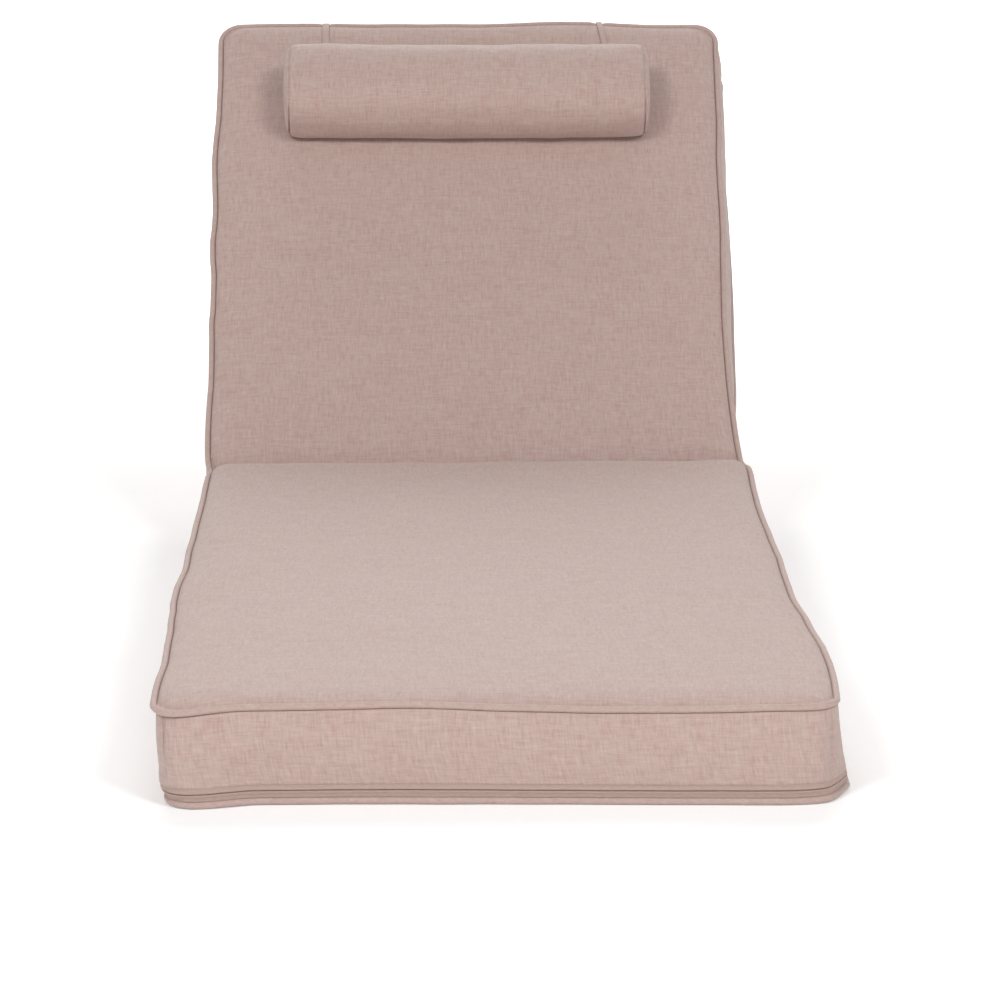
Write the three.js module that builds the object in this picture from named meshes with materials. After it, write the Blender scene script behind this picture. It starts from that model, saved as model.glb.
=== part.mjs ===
// A box-edged sun lounger cushion with its back section raised, and its head pillow on two straps.
// The cushion is one filled cover with a sewn fold, piped round both faces, and zipped at the foot.
// Millimetres. +X is to the right seen from the foot, +Y runs from foot to head, +Z is up.
// The origin is the centre of the flat underside of the seat section.
import * as THREE from "three";

// Driving dimensions of the cushion
const SEAT_LENGTH = 1250;
const BACK_LENGTH = 700;
const WIDTH = 650; // over the piping
const FOLD_ANGLE = THREE.MathUtils.degToRad(45); // back section above the seat
const FOOT_RADIUS = 30; // corners in plan
const HEAD_RADIUS = 31;

// Piping, and the seam that it is sewn into
const TOP_PIPING_RADIUS = 4.5;
const BOTTOM_PIPING_RADIUS = 3.2; // the cushion's weight has flattened it
const TOP_SEAM_HEIGHT = 95; // centre of the top piping
const BOTTOM_SEAM_HEIGHT = 3.6;
const TOP_SEAM_NOTCH = 7; // cover turned in behind the top piping, along both faces
const BOTTOM_SEAM_INSET = 8; // the same behind the bottom piping
const BOTTOM_SEAM_RISE = 6.2;

// Filling
const PANEL_RISE = 10; // top panel above its seam, just inside the edge
const SHOULDER = 42; // width over which it rises
const CENTRE_CROWN = 4;
const FOLD_SHOULDER = 46;
const FOLD_CHANNEL_DEPTH = 4; // stitched line below the seam
const BOXING_BULGE = 4;
const FOLD_PINCH = 5; // boxing drawn in beside the fold
const FOLD_PINCH_SPREAD = 20;
const MITRE_SPREAD = 220; // length that gives way to the mitre on each side of the fold
const HEEL_RADIUS = 100; // underside bend below the fold

// Zip across the foot end
const ZIP_BOTTOM = 7.8;
const ZIP_TOP = 18.8;
const ZIP_REACH = 130; // how far it runs back along each side
const ZIP_TAPE_THICKNESS = 1.2;
const ZIP_CHAIN_WIDTH = 4.2;
const ZIP_CHAIN_THICKNESS = 1.2;
const ZIP_CHAIN_HEIGHT = 14.2;
const GAP = 0.4; // between pieces

// Head pillow, in the frame of the back section
const PILLOW_LENGTH = 467;
const PILLOW_HALF_HEIGHT = 70;
const PILLOW_HALF_THICKNESS = 46;
const PILLOW_CENTRE_X = -5;
const PILLOW_CENTRE_ALONG = 546;
const PILLOW_SQUARENESS = 2.35; // exponent of its section, 2 is an ellipse
const PILLOW_SECTION_SIDES = 28;
const PILLOW_BACK_CUT = 0.93; // the side that lies on the panel is flat from here

// Straps of the head pillow
const STRAP_WIDTH = 9;
const STRAP_THICKNESS = 2;
const STRAP_TUCK = 8; // past the rear seam
const STRAP_ROOT_ANGLE = THREE.MathUtils.degToRad(-35); // where it meets the pillow's section
const STRAPS = [
  { name: "strap_left", x: -185, slant: 0 },
  { name: "strap_right", x: 166, slant: 0.22 },
];

// How far the piping stands outside the straight side, left and right, at distances from the foot
const SIDE_WAVES = [
  { from_foot: 0, left: 0, right: 0 },
  { from_foot: 100, left: 1.5, right: 5 },
  { from_foot: 230, left: 0, right: 9 },
  { from_foot: 400, left: 2.5, right: 4 },
  { from_foot: 540, left: 6, right: 0 },
  { from_foot: 760, left: 1.5, right: 2 },
  { from_foot: 1000, left: 1, right: 5 },
  { from_foot: 1150, left: 1, right: 8 },
  { from_foot: 1240, left: -1.5, right: 11 },
  { from_foot: 1252, left: 0, right: 7 },
  { from_foot: 1268, left: 2, right: -2.5 },
  { from_foot: 1345, left: 3, right: -4 },
  { from_foot: 1450, left: 1, right: -1.5 },
  { from_foot: 1575, left: 4, right: 0 },
  { from_foot: 1730, left: 3.5, right: 0.5 },
  { from_foot: 1850, left: 0, right: 1 },
  { from_foot: 1950, left: 0, right: 0 },
];
// The same for the head edge and for both seams of the foot edge, across the width from left to right,
// and how far the top seam of the foot edge stands above its even height
const END_WAVES = [
  { across: -320, head: 2, foot_top: 0, foot_bottom: 4, foot_seam: -7 },
  { across: -288, head: 4, foot_top: 0, foot_bottom: 8, foot_seam: -4 },
  { across: -240, head: 5, foot_top: -6, foot_bottom: 2, foot_seam: -0.5 },
  { across: -150, head: 3, foot_top: -9, foot_bottom: -3, foot_seam: 0.5 },
  { across: -80, head: 3, foot_top: -10, foot_bottom: -4, foot_seam: 1 },
  { across: 0, head: 2.5, foot_top: -10, foot_bottom: -4, foot_seam: -2 },
  { across: 100, head: 6, foot_top: -9, foot_bottom: -2, foot_seam: -5 },
  { across: 175, head: 4.5, foot_top: -5, foot_bottom: 3, foot_seam: -4.5 },
  { across: 260, head: 0, foot_top: 0, foot_bottom: 5, foot_seam: -1.5 },
  { across: 320, head: 1, foot_top: 0, foot_bottom: 0, foot_seam: -1 },
];
const END_WAVE_DEPTH = 150; // how far in from an end its waves are felt
const FOOT_SHIFT = 9.5; // the underside stands this far to the right at the foot
const FOOT_SHIFT_LENGTH = 600;

const TOTAL_LENGTH = SEAT_LENGTH + BACK_LENGTH;
const HALF_SEAM_WIDTH = WIDTH / 2 - TOP_PIPING_RADIUS;
const MITRE_SLOPE = Math.tan(FOLD_ANGLE / 2);
const FOOT_Y = -SEAT_LENGTH / 2;

// Mesh resolution
const CORNER_STEPS = 4;
const PANEL_LINES = [-215, -130, -45, 45, 130, 215]; // across the width
const SEAT_LINES = [100, 170, 250, 340, 440, 540, 640, 750, 870, 990, 1100]; // from the foot
const FOLD_LINES = [-60, -34, -18, -7, 0, 7, 18, 34, 60]; // from the fold
const BACK_LINES = [1380, 1460, 1560, 1660, 1760, 1840]; // from the foot
const PIPING_SIDES = 8;
const BOXING_HEIGHTS = [BOTTOM_SEAM_HEIGHT + BOTTOM_SEAM_RISE, 31, 50, 69, TOP_SEAM_HEIGHT - TOP_SEAM_NOTCH];

// A smooth curve through one column of a table, by cubic Hermite pieces that never overshoot.
function column(table, key, value) {
  const keys = Object.keys(table[0]);
  const at = (row) => row[keys[0]];
  const slope = (a, b) => (b[value] - a[value]) / (at(b) - at(a));
  const next = table.findIndex((row) => at(row) > key);
  const i = next < 0 ? table.length - 2 : Math.max(next - 1, 0);
  const [a, b] = [table[i], table[i + 1]];
  const here = slope(a, b);
  const tangent = (before, after) => (before * after <= 0 ? 0 : (2 * before * after) / (before + after));
  const start = i > 0 ? tangent(slope(table[i - 1], a), here) : 0;
  const end = i < table.length - 2 ? tangent(here, slope(b, table[i + 2])) : 0;
  const span = at(b) - at(a);
  const u = THREE.MathUtils.clamp((key - at(a)) / span, 0, 1);
  const [u2, u3] = [u * u, u * u * u];
  return (
    a[value] * (2 * u3 - 3 * u2 + 1) +
    b[value] * (3 * u2 - 2 * u3) +
    span * (start * (u3 - 2 * u2 + u) + end * (u3 - u2))
  );
}

// Rises from 0 to 1 as a quarter circle and then stays there.
function quarterRound(share) {
  const rest = 1 - THREE.MathUtils.clamp(share, 0, 1);
  return Math.sqrt(1 - rest * rest);
}

// The lines of the grid across the cushion and along it. A corner line has a share of the corner's radius.
function gridLines(low, high, lowRadius, highRadius, between) {
  const shares = Array.from({ length: CORNER_STEPS + 1 }, (_, i) => i / CORNER_STEPS);
  return [
    ...shares.toReversed().map((share) => ({ share, edge: low, radius: lowRadius, out: -1 })),
    ...between.map((at) => ({ share: 0, at })),
    ...shares.map((share) => ({ share, edge: high, radius: highRadius, out: 1 })),
  ];
}
const ACROSS = gridLines(-HALF_SEAM_WIDTH, HALF_SEAM_WIDTH, FOOT_RADIUS, FOOT_RADIUS, PANEL_LINES);
const ALONG = gridLines(
  TOP_PIPING_RADIUS,
  TOTAL_LENGTH - TOP_PIPING_RADIUS,
  FOOT_RADIUS,
  HEAD_RADIUS,
  [...SEAT_LINES, ...FOLD_LINES.map((step) => SEAT_LENGTH + step), ...BACK_LINES],
);

// Where a grid line lies on the outline that runs a given inset inside the seam.
function onLine(line, inset) {
  if (line.edge === undefined) return line.at;
  return line.edge - line.out * (line.radius - line.share * (line.radius - inset));
}

// Grid position to plan position on the outline that runs a given inset inside the seam.
// Corner squares are mapped to quarter discs, a(1 - b²/2)^½ by b(1 - a²/2)^½.
function plan(i, j, inset) {
  const [a, b] = [ACROSS[i], ALONG[j]];
  if (a.share === 0 || b.share === 0) return [onLine(a, inset), onLine(b, inset)];
  const radius = b.radius;
  const cornerX = a.out * (HALF_SEAM_WIDTH - radius);
  const cornerS = b.edge - b.out * radius;
  return [
    cornerX + a.out * (radius - inset) * a.share * Math.sqrt(1 - (b.share * b.share) / 2),
    cornerS + b.out * (radius - inset) * b.share * Math.sqrt(1 - (a.share * a.share) / 2),
  ];
}

// A point of the flat, unfolded cushion: its plan position with the waves of the seam line beside it added.
function flatPoint(i, j, inset, height, pinch = 0) {
  const [x, s] = plan(i, j, 0);
  const [insetX, insetS] = plan(i, j, inset);
  const reach = Math.abs(x) / HALF_SEAM_WIDTH;
  const side = Math.sign(x) * column(SIDE_WAVES, s, x < 0 ? "left" : "right") * reach * reach;
  const headward = THREE.MathUtils.clamp(1 - (TOTAL_LENGTH - s) / END_WAVE_DEPTH, 0, 1);
  const footward = THREE.MathUtils.clamp(1 - s / END_WAVE_DEPTH, 0, 1);
  const up = height / TOP_SEAM_HEIGHT;
  const foot = THREE.MathUtils.lerp(column(END_WAVES, x, "foot_bottom"), column(END_WAVES, x, "foot_top"), up);
  const ends = column(END_WAVES, x, "head") * headward ** 2 - foot * footward ** 2;
  const sag = column(END_WAVES, x, "foot_seam") * footward ** 4 * Math.min(up, 1);
  const shift = FOOT_SHIFT * THREE.MathUtils.clamp(1 - s / FOOT_SHIFT_LENGTH, 0, 1) ** 2 * (1 - up);
  const fromFold = (s - SEAT_LENGTH) / FOLD_PINCH_SPREAD;
  const drawnIn = pinch * Math.sign(x) * Math.exp(-fromFold * fromFold) * Math.min(up, 1);
  return new THREE.Vector3(insetX + side + shift - drawnIn, insetS + ends, height + sag);
}

// Folds a point of the flat cushion: a mitre at the fold, the back section raised, and a rounded heel below.
function fold(flat) {
  const fromFold = flat.y - SEAT_LENGTH;
  const depth = TOP_SEAM_HEIGHT - flat.z;
  const giving = THREE.MathUtils.clamp(1 - Math.abs(fromFold) / MITRE_SPREAD, 0, 1);
  const mitre = MITRE_SLOPE * depth * giving;
  // The heel: the sharp corner of the underside is replaced by an arc, less and less so higher up.
  const tangentLength = HEEL_RADIUS * MITRE_SLOPE;
  const toCorner = Math.abs(fromFold) + MITRE_SLOPE * TOP_SEAM_HEIGHT * (1 - giving);
  const turn = (FOLD_ANGLE / 2) * THREE.MathUtils.clamp(1 - toCorner / tangentLength, 0, 1);
  const under = THREE.MathUtils.clamp(depth / TOP_SEAM_HEIGHT, 0, 1) ** 2;
  const shorten = (tangentLength - toCorner - HEEL_RADIUS * Math.sin(turn)) * under * (turn > 0 ? 1 : 0);
  const lift = HEEL_RADIUS * (1 - Math.cos(turn)) * under;
  if (fromFold <= 0)
    return new THREE.Vector3(flat.x, FOOT_Y + flat.y + mitre - shorten, flat.z + lift);
  const along = fromFold - mitre + shorten;
  const out = lift - depth;
  return new THREE.Vector3(
    flat.x,
    FOOT_Y + SEAT_LENGTH + along * Math.cos(FOLD_ANGLE) - out * Math.sin(FOLD_ANGLE),
    TOP_SEAM_HEIGHT + along * Math.sin(FOLD_ANGLE) + out * Math.cos(FOLD_ANGLE),
  );
}

// Height of the top panel above its seam at a place in plan: quarter-round shoulders at the edges and
// the fold, and a low crown over each section.
function panelHeight(x, s) {
  const fromSide = HALF_SEAM_WIDTH - TOP_SEAM_NOTCH - Math.abs(x);
  const fromEnd = Math.min(s, TOTAL_LENGTH - s) - TOP_PIPING_RADIUS - TOP_SEAM_NOTCH;
  const fromFold = Math.abs(s - SEAT_LENGTH);
  const short = (distance) => 1 - THREE.MathUtils.clamp(distance / SHOULDER, 0, 1);
  const edges = quarterRound(1 - Math.hypot(short(fromSide), short(fromEnd)));
  const channel = quarterRound(fromFold / FOLD_SHOULDER);
  const onSeat = s < SEAT_LENGTH;
  const middle = onSeat ? SEAT_LENGTH / 2 : SEAT_LENGTH + BACK_LENGTH / 2;
  const lengthways = (s - middle) / (onSeat ? SEAT_LENGTH / 2 : BACK_LENGTH / 2);
  const crown = CENTRE_CROWN * (1 - (x / HALF_SEAM_WIDTH) ** 2) * (1 - lengthways ** 2);
  return edges * (channel * (PANEL_RISE + crown + FOLD_CHANNEL_DEPTH) - FOLD_CHANNEL_DEPTH);
}

// How far the boxing stands out of the seam line at a height: half a sine wave between the two seams.
function bulge(height) {
  const [low, high] = [BOXING_HEIGHTS[0], BOXING_HEIGHTS.at(-1)];
  return BOXING_BULGE * Math.sin(Math.PI * THREE.MathUtils.clamp((height - low) / (high - low), 0, 1));
}

// The stations of the outline, anticlockwise from above, as grid positions.
const LAST_I = ACROSS.length - 1;
const LAST_J = ALONG.length - 1;
const OUTLINE = [
  ...ACROSS.map((_, i) => [i, 0]),
  ...ALONG.slice(1).map((_, j) => [LAST_I, j + 1]),
  ...ACROSS.slice(1).map((_, i) => [LAST_I - 1 - i, LAST_J]),
  ...ALONG.slice(2).map((_, j) => [0, LAST_J - 1 - j]),
];

// An indexed mesh built point by point.
class Shell {
  positions = [];
  faces = [];
  point(p) {
    this.positions.push(p.x, p.y, p.z);
    return this.positions.length / 3 - 1;
  }
  triangle(a, b, c) {
    this.faces.push(a, b, c);
  }
  quad(a, b, c, d) {
    this.triangle(a, b, c);
    this.triangle(a, c, d);
  }
  geometry() {
    const made = new THREE.BufferGeometry();
    made.setAttribute("position", new THREE.Float32BufferAttribute(this.positions, 3));
    made.setIndex(this.faces);
    made.computeVertexNormals();
    return made;
  }
}

// Fills the grid of the top or the bottom panel between the stations of its outermost ring.
function fillPanel(shell, inset, height, facesUp) {
  const index = ACROSS.map((_, i) =>
    ALONG.map((_, j) => {
      const flat = flatPoint(i, j, inset, height);
      if (facesUp) flat.z += panelHeight(...plan(i, j, inset));
      return shell.point(fold(flat));
    }),
  );
  for (let i = 0; i < LAST_I; i++)
    for (let j = 0; j < LAST_J; j++) {
      const [a, b, c, d] = [index[i][j], index[i + 1][j], index[i + 1][j + 1], index[i][j + 1]];
      const risingDiagonal = i < LAST_I / 2 === j < LAST_J / 2;
      const corners = risingDiagonal ? [a, b, c, d] : [b, c, d, a];
      shell.quad(...(facesUp ? corners : corners.toReversed()));
    }
  return OUTLINE.map(([i, j]) => index[i][j]);
}

// The filled cover: bottom panel, boxing and top panel, one closed surface.
function cushionGeometry() {
  const shell = new Shell();
  const boxing = BOXING_HEIGHTS.map((height) =>
    OUTLINE.map(([i, j]) => shell.point(fold(flatPoint(i, j, -bulge(height), height, FOLD_PINCH)))),
  );
  const rings = [
    fillPanel(shell, BOTTOM_SEAM_INSET, 0, false),
    ...boxing,
    fillPanel(shell, TOP_SEAM_NOTCH, TOP_SEAM_HEIGHT, true),
  ];
  for (let r = 1; r < rings.length; r++)
    OUTLINE.forEach((_, k) => {
      const next = (k + 1) % OUTLINE.length;
      shell.quad(rings[r - 1][k], rings[r - 1][next], rings[r][next], rings[r][k]);
    });
  return shell.geometry();
}

// Centre to corner of a piping's section, whose sides touch the circle of its radius from outside.
function pipingReach(radius) {
  return radius / Math.cos(Math.PI / PIPING_SIDES);
}

// A piping loop: its section, with one side facing the cover, carried round the whole outline.
function pipingGeometry(radius, height) {
  const shell = new Shell();
  const reach = pipingReach(radius);
  const rings = OUTLINE.map(([i, j]) =>
    Array.from({ length: PIPING_SIDES }, (_, side) => {
      const angle = (2 * Math.PI * (side + 0.5)) / PIPING_SIDES;
      return shell.point(fold(flatPoint(i, j, -reach * Math.cos(angle), height + reach * Math.sin(angle))));
    }),
  );
  rings.forEach((ring, k) => {
    const next = rings[(k + 1) % rings.length];
    ring.forEach((_, side) => {
      const above = (side + 1) % PIPING_SIDES;
      shell.quad(ring[side], next[side], next[above], ring[above]);
    });
  });
  return shell.geometry();
}

// A strip sewn on the boxing round the foot end. The profile is [distance out of the boxing, height]:
// down its inner side, then up its outer side, with as many points.
function footStripGeometry(profile) {
  const shell = new Shell();
  const besideFoot = ([, j]) => onLine(ALONG[j], 0) <= ZIP_REACH;
  const left = OUTLINE.filter((station) => station[0] === 0 && station[1] > 0 && besideFoot(station));
  const rest = OUTLINE.filter((station) => (station[0] > 0 || station[1] === 0) && besideFoot(station));
  const rings = [...left, ...rest].map(([i, j]) =>
    profile.map(([out, height]) => shell.point(fold(flatPoint(i, j, -out - bulge(height), height)))),
  );
  for (let k = 1; k < rings.length; k++)
    profile.forEach((_, p) => {
      const q = (p + 1) % profile.length;
      shell.quad(rings[k - 1][p], rings[k][p], rings[k][q], rings[k - 1][q]);
    });
  // Each end is closed by a ladder of quads between the inner and the outer half of the profile.
  const [first, last] = [rings[0], rings.at(-1)];
  for (let p = 0; p < profile.length / 2 - 1; p++) {
    const rung = [p, p + 1, profile.length - 2 - p, profile.length - 1 - p];
    shell.quad(...rung.map((q) => first[q]));
    shell.quad(...rung.map((q) => last[q]).toReversed());
  }
  return shell.geometry();
}

// Zip tape: a thin band, flat on the boxing. Its lower edge hangs in front of the turned-in seam.
function zipTapeGeometry() {
  const [inner, outer] = [GAP, GAP + ZIP_TAPE_THICKNESS];
  const middle = (ZIP_BOTTOM + ZIP_TOP) / 2;
  return footStripGeometry([
    [inner, ZIP_TOP],
    [inner, middle],
    [inner, ZIP_BOTTOM],
    [outer, ZIP_BOTTOM],
    [outer, middle],
    [outer, ZIP_TOP],
  ]);
}

// Zip chain: the closed teeth, a low rounded ridge along the middle of the tape.
function zipChainGeometry() {
  const base = 2 * GAP + ZIP_TAPE_THICKNESS;
  const half = ZIP_CHAIN_WIDTH / 2;
  const crest = base + ZIP_CHAIN_THICKNESS;
  return footStripGeometry([
    [base, ZIP_CHAIN_HEIGHT + half],
    [base, ZIP_CHAIN_HEIGHT - half],
    [crest, ZIP_CHAIN_HEIGHT - half / 2],
    [crest, ZIP_CHAIN_HEIGHT + half / 2],
  ]);
}

// Rings of the pillow from an end to its middle: distance from the end, and share of the full section.
const PILLOW_RINGS = [
  { from_end: 0, share: 0.3 },
  { from_end: 1.5, share: 0.62 },
  { from_end: 6, share: 0.86 },
  { from_end: 12, share: 0.95 },
  { from_end: 30, share: 0.985 },
  { from_end: 90, share: 1 },
  { from_end: 170, share: 1 },
];

// A point of the pillow's section at an angle from the slope, as [up the slope, out of the panel].
function pillowSection(angle, share) {
  const rounded = (v) => Math.sign(v) * Math.abs(v) ** (2 / PILLOW_SQUARENESS);
  const out = Math.max(rounded(Math.sin(angle)), -PILLOW_BACK_CUT);
  return [PILLOW_HALF_HEIGHT * share * rounded(Math.cos(angle)), PILLOW_HALF_THICKNESS * share * out];
}

// Head pillow: a superellipse section, flat where it lies on the panel, with drawn-in ends.
function pillowGeometry() {
  const shell = new Shell();
  const half = PILLOW_LENGTH / 2;
  const left = PILLOW_RINGS.map((ring) => ({ x: ring.from_end - half, share: ring.share }));
  const right = left.toReversed().map((ring) => ({ x: -ring.x, share: ring.share }));
  const rings = [...left, ...right].map(({ x, share }) =>
    Array.from({ length: PILLOW_SECTION_SIDES }, (_, side) => {
      const [y, z] = pillowSection((2 * Math.PI * side) / PILLOW_SECTION_SIDES, share);
      return shell.point(new THREE.Vector3(x, y, z));
    }),
  );
  const after = (side) => (side + 1) % PILLOW_SECTION_SIDES;
  for (let k = 1; k < rings.length; k++)
    rings[k].forEach((_, side) => {
      shell.quad(rings[k - 1][side], rings[k - 1][after(side)], rings[k][after(side)], rings[k][side]);
    });
  const leftCentre = shell.point(new THREE.Vector3(-half, 0, 0));
  const rightCentre = shell.point(new THREE.Vector3(half, 0, 0));
  const [first, last] = [rings[0], rings.at(-1)];
  first.forEach((_, side) => shell.triangle(leftCentre, first[after(side)], first[side]));
  last.forEach((_, side) => shell.triangle(rightCentre, last[side], last[after(side)]));
  return shell.geometry();
}

// Strap: a flat band from the back of the pillow over the head end, tucked in at the rear seam. Its side
// view is a shape offset both ways from one centreline, extruded across the width, and slanted in plan.
// The origin is on the head edge at the height of the top seam.
function strapGeometry(slant, pillowAlong, pillowHeight) {
  const wrap = pipingReach(TOP_PIPING_RADIUS) + GAP + STRAP_THICKNESS / 2;
  const rearWrap = pipingReach(BOTTOM_PIPING_RADIUS) + GAP + STRAP_THICKNESS / 2;
  const topSeam = new THREE.Vector2(-TOP_PIPING_RADIUS, 0);
  const rearSeam = new THREE.Vector2(topSeam.x, BOTTOM_SEAM_HEIGHT - TOP_SEAM_HEIGHT);
  const [rootAlong, rootOut] = pillowSection(STRAP_ROOT_ANGLE, 1);
  const root = new THREE.Vector2(pillowAlong + rootAlong, pillowHeight + rootOut);
  const arc = (centre, radius, from, to, steps) =>
    Array.from({ length: steps + 1 }, (_, k) => {
      const angle = THREE.MathUtils.degToRad(from + ((to - from) * k) / steps);
      return new THREE.Vector2(centre.x + radius * Math.cos(angle), centre.y + radius * Math.sin(angle));
    });
  const overPiping = arc(topSeam, wrap, 76, 0, 5);
  const clearance = overPiping[0].clone().sub(root).setLength(STRAP_THICKNESS);
  const centreline = [
    root.clone().add(clearance),
    ...overPiping,
    ...arc(rearSeam, rearWrap, 0, -90, 4),
    new THREE.Vector2(rearSeam.x - STRAP_TUCK, rearSeam.y - rearWrap),
  ];
  const offset = (side) =>
    centreline.map((p, k) => {
      const before = centreline[Math.max(k - 1, 0)];
      const beyond = centreline[Math.min(k + 1, centreline.length - 1)];
      const run = beyond.clone().sub(before).normalize();
      return new THREE.Vector2(-run.y, run.x).multiplyScalar((side * STRAP_THICKNESS) / 2).add(p);
    });
  const shape = new THREE.Shape([...offset(1), ...offset(-1).toReversed()]);
  const band = new THREE.ExtrudeGeometry(shape, { depth: STRAP_WIDTH, bevelEnabled: false });
  // The shape's own axes become length and thickness, and its normal the width.
  const turned = new THREE.Matrix4().makeBasis(
    new THREE.Vector3(-slant, 1, 0),
    new THREE.Vector3(0, 0, 1),
    new THREE.Vector3(1, 0, 0),
  );
  return band.translate(0, 0, -STRAP_WIDTH / 2).applyMatrix4(turned);
}

const FABRIC = new THREE.MeshStandardMaterial({ color: 0xbfa9a3, roughness: 0.92, metalness: 0 });
const PIPING_FABRIC = new THREE.MeshStandardMaterial({ color: 0xb9a29c, roughness: 0.92, metalness: 0 });
const ZIP_TAPE = new THREE.MeshStandardMaterial({ color: 0xa98f88, roughness: 0.85, metalness: 0 });
const ZIP_CHAIN = new THREE.MeshStandardMaterial({ color: 0x978078, roughness: 0.6, metalness: 0 });

function piece(name, geometry, material) {
  const made = new THREE.Mesh(geometry, material);
  made.name = name;
  return made;
}

const cushion = new THREE.Group();
cushion.add(piece("cushion", cushionGeometry(), FABRIC));
cushion.add(piece("top_piping", pipingGeometry(TOP_PIPING_RADIUS, TOP_SEAM_HEIGHT), PIPING_FABRIC));
cushion.add(piece("bottom_piping", pipingGeometry(BOTTOM_PIPING_RADIUS, BOTTOM_SEAM_HEIGHT), PIPING_FABRIC));
cushion.add(piece("zip_tape", zipTapeGeometry(), ZIP_TAPE));
cushion.add(piece("zip_chain", zipChainGeometry(), ZIP_CHAIN));

// The frame of the back section: its origin is on the fold at seam height, +Y runs up the slope to the head.
const back = new THREE.Group();
back.position.set(0, FOOT_Y + SEAT_LENGTH, TOP_SEAM_HEIGHT);
back.rotation.x = FOLD_ANGLE;
cushion.add(back);

// The pillow lies on the crown of the panel, which is highest under the lower edge of its flat side.
const pillow = piece("head_pillow", pillowGeometry(), FABRIC);
const highest = panelHeight(0, SEAT_LENGTH + PILLOW_CENTRE_ALONG - PILLOW_HALF_HEIGHT);
const pillowHeight = highest + GAP + PILLOW_HALF_THICKNESS * PILLOW_BACK_CUT;
pillow.position.set(PILLOW_CENTRE_X, PILLOW_CENTRE_ALONG, pillowHeight);
back.add(pillow);

for (const { name, x, slant } of STRAPS) {
  const headEdge = BACK_LENGTH + column(END_WAVES, x, "head");
  const strap = piece(name, strapGeometry(slant, PILLOW_CENTRE_ALONG - headEdge, pillowHeight), PIPING_FABRIC);
  strap.position.set(x, headEdge, 0);
  back.add(strap);
}

export default cushion;
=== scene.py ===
"""The looks of a box-edged sun lounger cushion: its cover, piping, zip, head pillow and straps.

Metres. +X is to the right seen from the foot, +Y runs from foot to head, +Z is up, and the origin is the
centre of the flat underside of the seat section. Tables hold millimetres and say so.
"""

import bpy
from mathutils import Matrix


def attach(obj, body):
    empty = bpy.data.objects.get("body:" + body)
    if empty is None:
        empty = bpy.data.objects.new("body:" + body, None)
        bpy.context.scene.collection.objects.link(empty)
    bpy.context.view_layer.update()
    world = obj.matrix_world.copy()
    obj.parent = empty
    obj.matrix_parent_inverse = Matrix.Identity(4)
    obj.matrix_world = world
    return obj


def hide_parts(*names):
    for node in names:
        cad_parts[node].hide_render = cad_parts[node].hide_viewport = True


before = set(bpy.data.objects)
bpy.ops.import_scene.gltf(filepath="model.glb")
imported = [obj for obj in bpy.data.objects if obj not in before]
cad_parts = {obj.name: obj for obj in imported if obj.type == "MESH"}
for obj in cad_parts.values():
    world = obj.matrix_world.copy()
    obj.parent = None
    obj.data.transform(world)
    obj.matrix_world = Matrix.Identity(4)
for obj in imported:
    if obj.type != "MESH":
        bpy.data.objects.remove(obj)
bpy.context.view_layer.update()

import logging
import math
from dataclasses import dataclass, field
from enum import Enum
from typing import Any

import bpy
import numpy as np

Array = np.ndarray
MM = 0.001
CLOTH_MAP = "cloth"
# Insets of the grid lines beside a seam, and distances of those beside the fold.
BESIDE_SEAM = np.array([0, 0.5, 1.2, 2.2, 3.6, 5.5, 8, 11, 15, 19.5, 24.5, 30]) * MM
BESIDE_FOLD = np.array([1.5, 3, 5, 7.5, 10.5, 14, 18, 23, 29, 36, 43, 50]) * MM
log = logging.getLogger("lounger_cushion")


class Column(Enum):
    """The columns of the wave tables, after the one with the places."""

    LEFT = "left side, outwards"
    RIGHT = "right side, outwards"
    UNDERSIDE = "underside, to the right"
    RIGHT_LIFT = "top seam on the right, upwards"
    HEAD = "head edge, outwards"
    FOOT_TOP = "top seam of the foot edge, outwards"
    FOOT_BOTTOM = "bottom seam of the foot edge, outwards"
    FOOT_SEAM = "top seam of the foot edge, upwards"
    FOOT_LIFT = "bottom seam of the foot edge, upwards"


class Sewing(Enum):
    """The names of the material slots of the pieces, which dress takes without using them."""

    COVER = "cover_cloth"
    PIPING = "piping_cloth"
    TAPE = "zip_tape"
    CHAIN = "zip_chain"
    STRAP = "strap_cloth"


class WaveTable:
    """Uneven values measured along an edge, read between the rows as one smooth curve."""

    def __init__(self, columns: tuple[Column, ...], rows: tuple[tuple[float, ...], ...]) -> None:
        """Keeps the table in metres.

        Args:
            columns: the columns that follow the places along the edge.
            rows: the place and the values of each measured row, in millimetres.
        """
        self.columns = columns
        self.values = np.array(rows) * MM

    def read(self, at: Array, column: Column) -> Array:
        """Reads one column at many places.

        Between two rows runs the cubic Hermite curve whose slope at a row is the harmonic mean of the
        slopes beside it, or zero where they differ in sign, so the curve never overshoots a row.

        Args:
            at: places along the edge, in metres.
            column: which column.

        Returns:
            The values at those places, in metres.
        """
        x, y = self.values[:, 0], self.values[:, 1 + self.columns.index(column)]
        slope = np.diff(y) / np.diff(x)
        same_way = slope[:-1] * slope[1:] > 0
        total = np.where(same_way, slope[:-1] + slope[1:], 1.0)
        tangent = np.zeros(len(x))
        tangent[1:-1] = np.where(same_way, 2 * slope[:-1] * slope[1:] / total, 0.0)
        k = np.clip(np.searchsorted(x, at, side="right") - 1, 0, len(x) - 2)
        span = x[k + 1] - x[k]
        u = np.clip((at - x[k]) / span, 0, 1)
        ends = y[k] * (2 * u**3 - 3 * u**2 + 1) + y[k + 1] * (3 * u**2 - 2 * u**3)
        return ends + span * (tangent[k] * (u**3 - 2 * u**2 + u) + tangent[k + 1] * (u**3 - u**2))


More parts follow.
